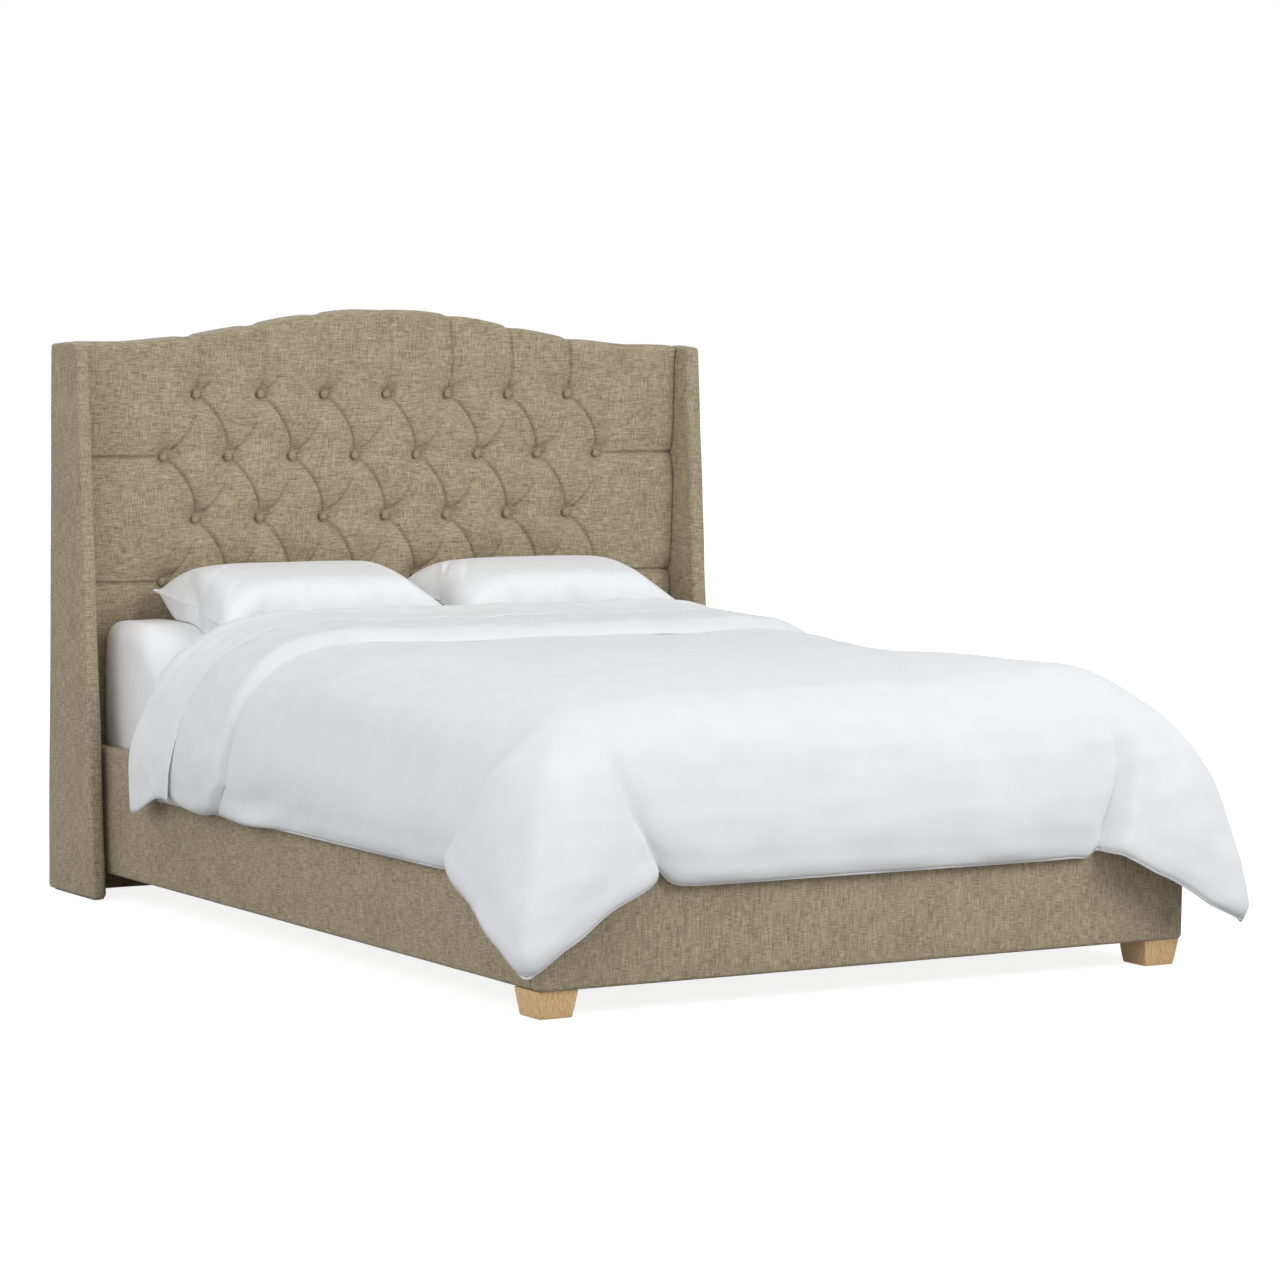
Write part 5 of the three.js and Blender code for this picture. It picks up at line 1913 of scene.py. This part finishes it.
@dataclass
class BlownBag:
    """Two layers of cloth sewn together all round and filled until they are tight."""

    half_x: float
    half_y: float
    columns: int = 92
    rows: int = 56
    pressure: float = 4.0
    frames: int = 24
    most_move: float = 0.11
    smoothing: int = 20
    straightening: float = 0.62

    def sewn(self, seed: int) -> tuple[np.ndarray, np.ndarray, np.ndarray]:
        """The flat bag before it is filled.

        Args:
            seed: Picks its slight unevenness.

        Returns:
            Points, and each layer's point indices as a grid.
        """
        top = np.arange(self.rows * self.columns).reshape(self.rows, self.columns)
        low = top.copy()
        inside = (self.rows - 2) * (self.columns - 2)
        low[1:-1, 1:-1] = top.size + np.arange(inside).reshape(self.rows - 2, self.columns - 2)
        half_x, half_y = self.half_x, self.half_y
        across, along = np.linspace(-half_x, half_x, self.columns), np.linspace(-half_y, half_y, self.rows)
        x, y = np.meshgrid(across, along)
        rim = np.minimum(1 - np.abs(x) / half_x, 1 - np.abs(y) / half_y)
        rise = 0.004 * ease(rim, 0, 0.1) + 0.002 * ripple(x, y, 0.09, seed) * ease(rim, 0, 0.2)
        points = np.zeros((top.size + inside, 3))
        points[top] = np.stack([x, y, rise], axis=2)
        points[low[1:-1, 1:-1]] = np.stack([x, y, -rise], axis=2)[1:-1, 1:-1]
        return points, top, low

    def simulated(self, points: np.ndarray, faces: np.ndarray) -> np.ndarray:
        """Fills the bag with Blender's cloth and reads where each point ends up.

        Args:
            points: The flat bag.
            faces: Its quads.

        Returns:
            The moved points.
        """
        scene = bpy.context.scene
        bag = link_mesh("bag", points, faces)
        mesh = bag.data
        cloth = bag.modifiers.new("filling", "CLOTH")
        values = cloth.settings
        values.quality, values.mass = 6, 0.3
        values.tension_stiffness = values.compression_stiffness = 15
        values.shear_stiffness, values.bending_stiffness = 5, 0.5
        values.use_pressure, values.uniform_pressure_force = True, self.pressure
        values.effector_weights.gravity = 0
        cloth.point_cache.frame_start, cloth.point_cache.frame_end = 1, self.frames
        for frame in range(1, self.frames + 1):
            scene.frame_set(frame)
        done = bag.evaluated_get(bpy.context.evaluated_depsgraph_get())
        moved = np.array([v.co for v in done.data.vertices])
        bpy.data.objects.remove(bag)
        bpy.data.meshes.remove(mesh)
        scene.frame_set(1)
        step = moved - points
        length = np.linalg.norm(step, axis=1, keepdims=True)
        return points + step * np.minimum(1, self.most_move / np.maximum(length, 1e-9))

    def filled(self, seed: int) -> tuple[np.ndarray, np.ndarray]:
        """Fills the bag and straightens its sides.

        Args:
            seed: Picks its slight unevenness.

        Returns:
            The two layers, as shares of the bag's half sizes and of its half thickness.
        """
        points, top, low = self.sewn(seed)
        index = np.concatenate([quads(top), quads(low)[:, ::-1]])
        moved = self.simulated(points, index)
        moved = moved / np.abs(moved).max(axis=0)
        layers = moved[top], moved[low]
        for layer in layers:
            layer[..., 0] /= np.abs(layer[:, [0, -1], 0]).mean(axis=1, keepdims=True) ** self.straightening
            layer[..., 1] /= np.abs(layer[[0, -1], :, 1]).mean(axis=0, keepdims=True) ** self.straightening
            for _ in range(self.smoothing):
                around = layer[:-2, 1:-1] + layer[2:, 1:-1] + layer[1:-1, :-2] + layer[1:-1, 2:]
                layer[1:-1, 1:-1] = layer[1:-1, 1:-1] * 0.4 + around * 0.15
        return layers


# A pillow's sharp creases: start and end as shares of its half length and half width, and depth.
Crease = tuple[float, float, float, float, float]
LEFT_CREASES: tuple[Crease, ...] = ((-0.50, 0.35, -0.86, -0.20, 0.0035), (-0.72, -0.45, -0.94, -0.86, 0.005))
RIGHT_CREASES: tuple[Crease, ...] = ((-0.70, 0.45, -0.96, -0.15, 0.0085), (-0.62, 0.25, -0.86, -0.45, 0.0065))


@dataclass
class Pillow:
    """A filled pillow in its case, with a corded seam all round."""

    side: str
    seed: int
    mattress: Mattress
    creases: tuple[Crease, ...]
    seam_front: float = 0.040
    seam_back: float = 0.101
    crown: float = 0.164
    crown_front: float = 0.136
    belly: float = 0.115
    sag: float = 0.004
    slack: Point = (0.011, 0.019)
    inward: float = 0.016
    seam_radius: float = 0.0026
    half_size: Point = (0.338, 0.2)
    full: float = 1.7

    def layer(self, shares: np.ndarray, middle: Vector, half: Point, upper: bool) -> np.ndarray:
        """Lays one layer of the filled bag on the bed.

        Args:
            shares: The layer, as shares of its half sizes.
            middle: Middle of the pillow.
            half: Half its length and half its width.
            upper: Whether it is the upper layer.

        Returns:
            Rows x columns x 3.
        """
        u, v, w = (shares[..., k] for k in range(3))
        base, share = self.mattress.places.mattress_top, (v + 1) / 2
        x, y = middle.x + half[0] * u, middle.y + half[1] * v
        seam = base + self.seam_front + (self.seam_back - self.seam_front) * share
        fill = 1 - (1 - np.clip(w if upper else -w, 0, 1)) ** self.full
        fill = fill * np.clip(1 - 2.3 * np.maximum(u - 0.58, 0), 0, 1)
        sunk = seam - self.sag * ease(np.abs(u), 0.7, 1.0)
        if upper:
            crown = base + self.crown_front + (self.crown - self.crown_front) * ease(share, 0.0, 0.75)
            z = sunk + (crown - seam) * fill - self.pressed_creases(u, v) * fill
        else:
            rest = self.mattress.pressed(x, y, np.full(x.shape, base + 0.0022)) + 0.0016
            z = np.maximum(sunk - self.belly * fill, np.minimum(rest, sunk))
        return np.stack([x, y, z], axis=2)

    def build(self) -> None:
        """Builds the pillow and the cord of its seam."""
        low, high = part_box(f"pillow_{self.side}")
        half = (high.x - low.x) / 2 - self.slack[0], (high.y - low.y) / 2 - self.slack[1]
        middle = (low + high) / 2
        middle.x, middle.y = math.copysign(abs(middle.x) - self.inward, middle.x), middle.y - self.slack[1]
        upper, lower = BlownBag(half[0] * 1.06, half[1] * 1.09).filled(self.seed)
        outer, inner = self.layer(upper, middle, half, True), self.layer(lower, middle, half, False)
        bag = make_piece(f"cased_pillow_{self.side}", *shell(outer, inner), PILLOW_COTTON)
        bag.modifiers.new("finer cloth", "SUBSURF").render_levels = 1
        welt = tube(rim_of(outer), self.seam_radius, closed=True)
        cord = make_piece(f"pillow_seam_{self.side}", *welt, PILLOW_COTTON)
        attach(bag, f"pillow_{self.side}_body", "white_cotton", f"pillow_{self.side}")
        attach(cord, f"pillow_{self.side}_body", "white_cotton")

    def pressed_creases(self, u: np.ndarray, v: np.ndarray) -> np.ndarray:
        """Depth of the case's few sharp creases at each place of the pillow.

        Args:
            u: Share of its half length.
            v: Share of its half width.

        Returns:
            Depth in metres.
        """
        depth = np.zeros(u.shape)
        for start_u, start_v, end_u, end_v, deep in self.creases:
            run_u, run_v = end_u - start_u, end_v - start_v
            share = np.clip(((u - start_u) * run_u + (v - start_v) * run_v) / (run_u**2 + run_v**2), 0, 1)
            side = (u - start_u) * run_v - (v - start_v) * run_u
            across, along = u - start_u - share * run_u, v - start_v - share * run_v
            away = np.hypot(across * self.half_size[0], along * self.half_size[1])
            ends = np.sin(math.pi * np.clip(share * 0.9 + 0.08, 0, 1))
            rolled = 0.6 * bump(away, 0.013, 0.009) * (side > 0)
            depth += deep * ends * (bump(away, 0, 0.007) - rolled)
        return depth


# ------------------------------------------------------------------ timber and steel


# Finish of each solid that stays, by how its name starts. The first that fits counts.
HIDDEN_FINISHES: tuple[tuple[str, Finish], ...] = (
    ("headboard_stile", pine(Grain.Z)),
    ("headboard_bottom_rail", pine(Grain.X)),
    ("headboard_middle_rail", pine(Grain.X)),
    ("headboard_crown_rail", pine(Grain.X)),
    ("headboard_panel", PLYWOOD),
    ("headboard_foam", FOAM),
    ("wing_board", pine(Grain.Z)),
    ("wing_glide", NYLON),
    ("side_rail_", pine(Grain.Y)),
    ("foot_rail", pine(Grain.X)),
    ("head_bracket", STEEL),
    ("foot_bracket", STEEL),
    ("corner_block", pine(Grain.Z)),
    ("slat_ledger", pine(Grain.Y)),
    ("slat_", pine(Grain.X)),
    ("centre_beam", pine(Grain.Y)),
    ("beam_hanger", STEEL),
    ("centre_leg", pine(Grain.Z)),
    ("leveller_stem", STEEL),
    ("leveller_pad", NYLON),
)


def finish_hidden(nodes: Mapping[str, bpy.types.Object]) -> None:
    """Gives every solid that stays its own finish.

    Args:
        nodes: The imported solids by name.
    """
    for name, node in sorted(nodes.items()):
        finish = next((finish for start, finish in HIDDEN_FINISHES if name.startswith(start)), None)
        if finish is None or node.hide_render:
            continue
        for slot in node.material_slots:
            slot.material = finish.material()
        LOG.info("%s: %s", name, finish.name)


# ------------------------------------------------------------------ studio


@dataclass
class Studio:
    """Pale floor, soft light and the camera."""

    camera_place: tuple[float, float, float] = (-5.343, -8.4867, 1.4692)
    camera_right: tuple[float, float, float] = (0.84382, -0.53640, 0.01535)
    camera_up: tuple[float, float, float] = (0.03077, 0.07692, 0.99656)
    lens_mm: float = 126.15
    world_strength: float = 0.74
    key_watts: float = 150
    fill_watts: float = 92
    floor_glow: float = 0.86
    floor_half: float = 30
    lit_point: tuple[float, float, float] = (0, 0, 0.5)

    def camera(self) -> None:
        """A long lens from the left of the foot, a little above the headboard."""
        data = bpy.data.cameras.new("camera")
        data.lens, data.sensor_width, data.sensor_fit = self.lens_mm, 36, "AUTO"
        data.clip_end = 200
        camera = link("camera", data)
        right, up = Vector(self.camera_right).normalized(), Vector(self.camera_up).normalized()
        back = right.cross(up).normalized()
        turned = Matrix((right, back.cross(right), back)).transposed().to_4x4()
        camera.matrix_world = Matrix.Translation(Vector(self.camera_place)) @ turned
        bpy.context.scene.camera = camera

    def seen(self, tree: Tree) -> Socket:
        """Tells the background itself from the light it gives.

        Args:
            tree: Where the nodes go.

        Returns:
            1 for rays that show the background, and 0 for the others.
        """
        rays = add_node(tree, "ShaderNodeLightPath").outputs
        seen = worked_out(tree, "MAXIMUM", rays["Is Camera Ray"], rays["Is Glossy Ray"])
        return worked_out(tree, "MAXIMUM", seen, rays["Is Transmission Ray"])

    def glow(self, tree: Tree, kind: str, colour: str, strength: float) -> Socket:
        """Adds a shader that gives light."""
        return add_node(tree, kind, {"Color": linear(colour), "Strength": strength}).outputs[0]

    def world(self) -> None:
        """White where it is seen, and an even soft light elsewhere."""
        bpy.context.scene.world = bpy.data.worlds.new("white studio")
        tree = cleared(bpy.context.scene.world)
        light = self.glow(tree, "ShaderNodeBackground", "#fcfdff", self.world_strength)
        white = self.glow(tree, "ShaderNodeBackground", "#ffffff", 1.0)
        mix = add_node(tree, "ShaderNodeMixShader", {}, {0: self.seen(tree), 1: light, 2: white})
        add_node(tree, "ShaderNodeOutputWorld", {}, {0: mix.outputs[0]})

    def floor(self) -> None:
        """A wide pale floor that keeps the bed's shadow."""
        count = 13
        across = np.linspace(-self.floor_half, self.floor_half, count)
        x, y = np.meshgrid(across, across)
        points = np.stack([x, y, np.full(x.shape, -0.0005)], axis=2)
        floor = link_mesh("studio_floor", points, grid_faces(count, count))
        material = bpy.data.materials.new("pale painted floor")
        tree = cleared(material)
        paint = add_node(tree, "ShaderNodeBsdfDiffuse", {"Color": linear("#a8a8a8")}).outputs[0]
        glow = self.glow(tree, "ShaderNodeEmission", "#ffffff", self.floor_glow)
        dark = self.glow(tree, "ShaderNodeEmission", "#000000", 0.0)
        shown = add_node(tree, "ShaderNodeMixShader", {}, {0: self.seen(tree), 1: dark, 2: glow})
        both = add_node(tree, "ShaderNodeAddShader", {}, {0: paint, 1: shown.outputs[0]})
        add_node(tree, "ShaderNodeOutputMaterial", {}, {0: both.outputs[0]})
        floor.data.materials.append(material)

    def lamp(self, name: str, place: Sequence[float], size: float, watts: float) -> None:
        """One large square lamp that faces the bed.

        Args:
            name: Name of the lamp.
            place: Where it hangs.
            size: Side of its square.
            watts: Its power.
        """
        data = bpy.data.lights.new(name, "AREA")
        data.size, data.energy = size, watts
        lamp = link(name, data)
        lamp.location = place
        lamp.rotation_mode = "QUATERNION"
        lamp.rotation_quaternion = (Vector(self.lit_point) - Vector(place)).to_track_quat("-Z", "Y")

    def build(self) -> None:
        """Sets up the view, the floor and the lights."""
        bpy.context.scene.view_settings.view_transform = "Standard"
        self.camera()
        self.world()
        self.floor()
        self.lamp("key", (2.2, -5.2, 4.0), 3.0, self.key_watts)
        self.lamp("fill", (-5.9, -2.1, 2.6), 3.6, self.fill_watts)


# ------------------------------------------------------------------ the bed


def main() -> None:
    """Builds every piece in order."""
    logging.basicConfig(level=logging.INFO, format="%(name)s: %(message)s")
    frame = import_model()
    Studio().build()
    places = Places.from_frame()
    TuftedHeadboard(places).build()
    UpholsteredFrame().build()
    mattress = Mattress(places)
    mattress.build()
    form = DuvetForm(places)
    Duvet(places, form).build()
    HeadBundle(places, form).build()
    Pillow("left", 71, mattress, LEFT_CREASES).build()
    Pillow("right", 81, mattress, RIGHT_CREASES).build()
    finish_hidden(frame["nodes"])


if __name__ == "__main__":
    main()
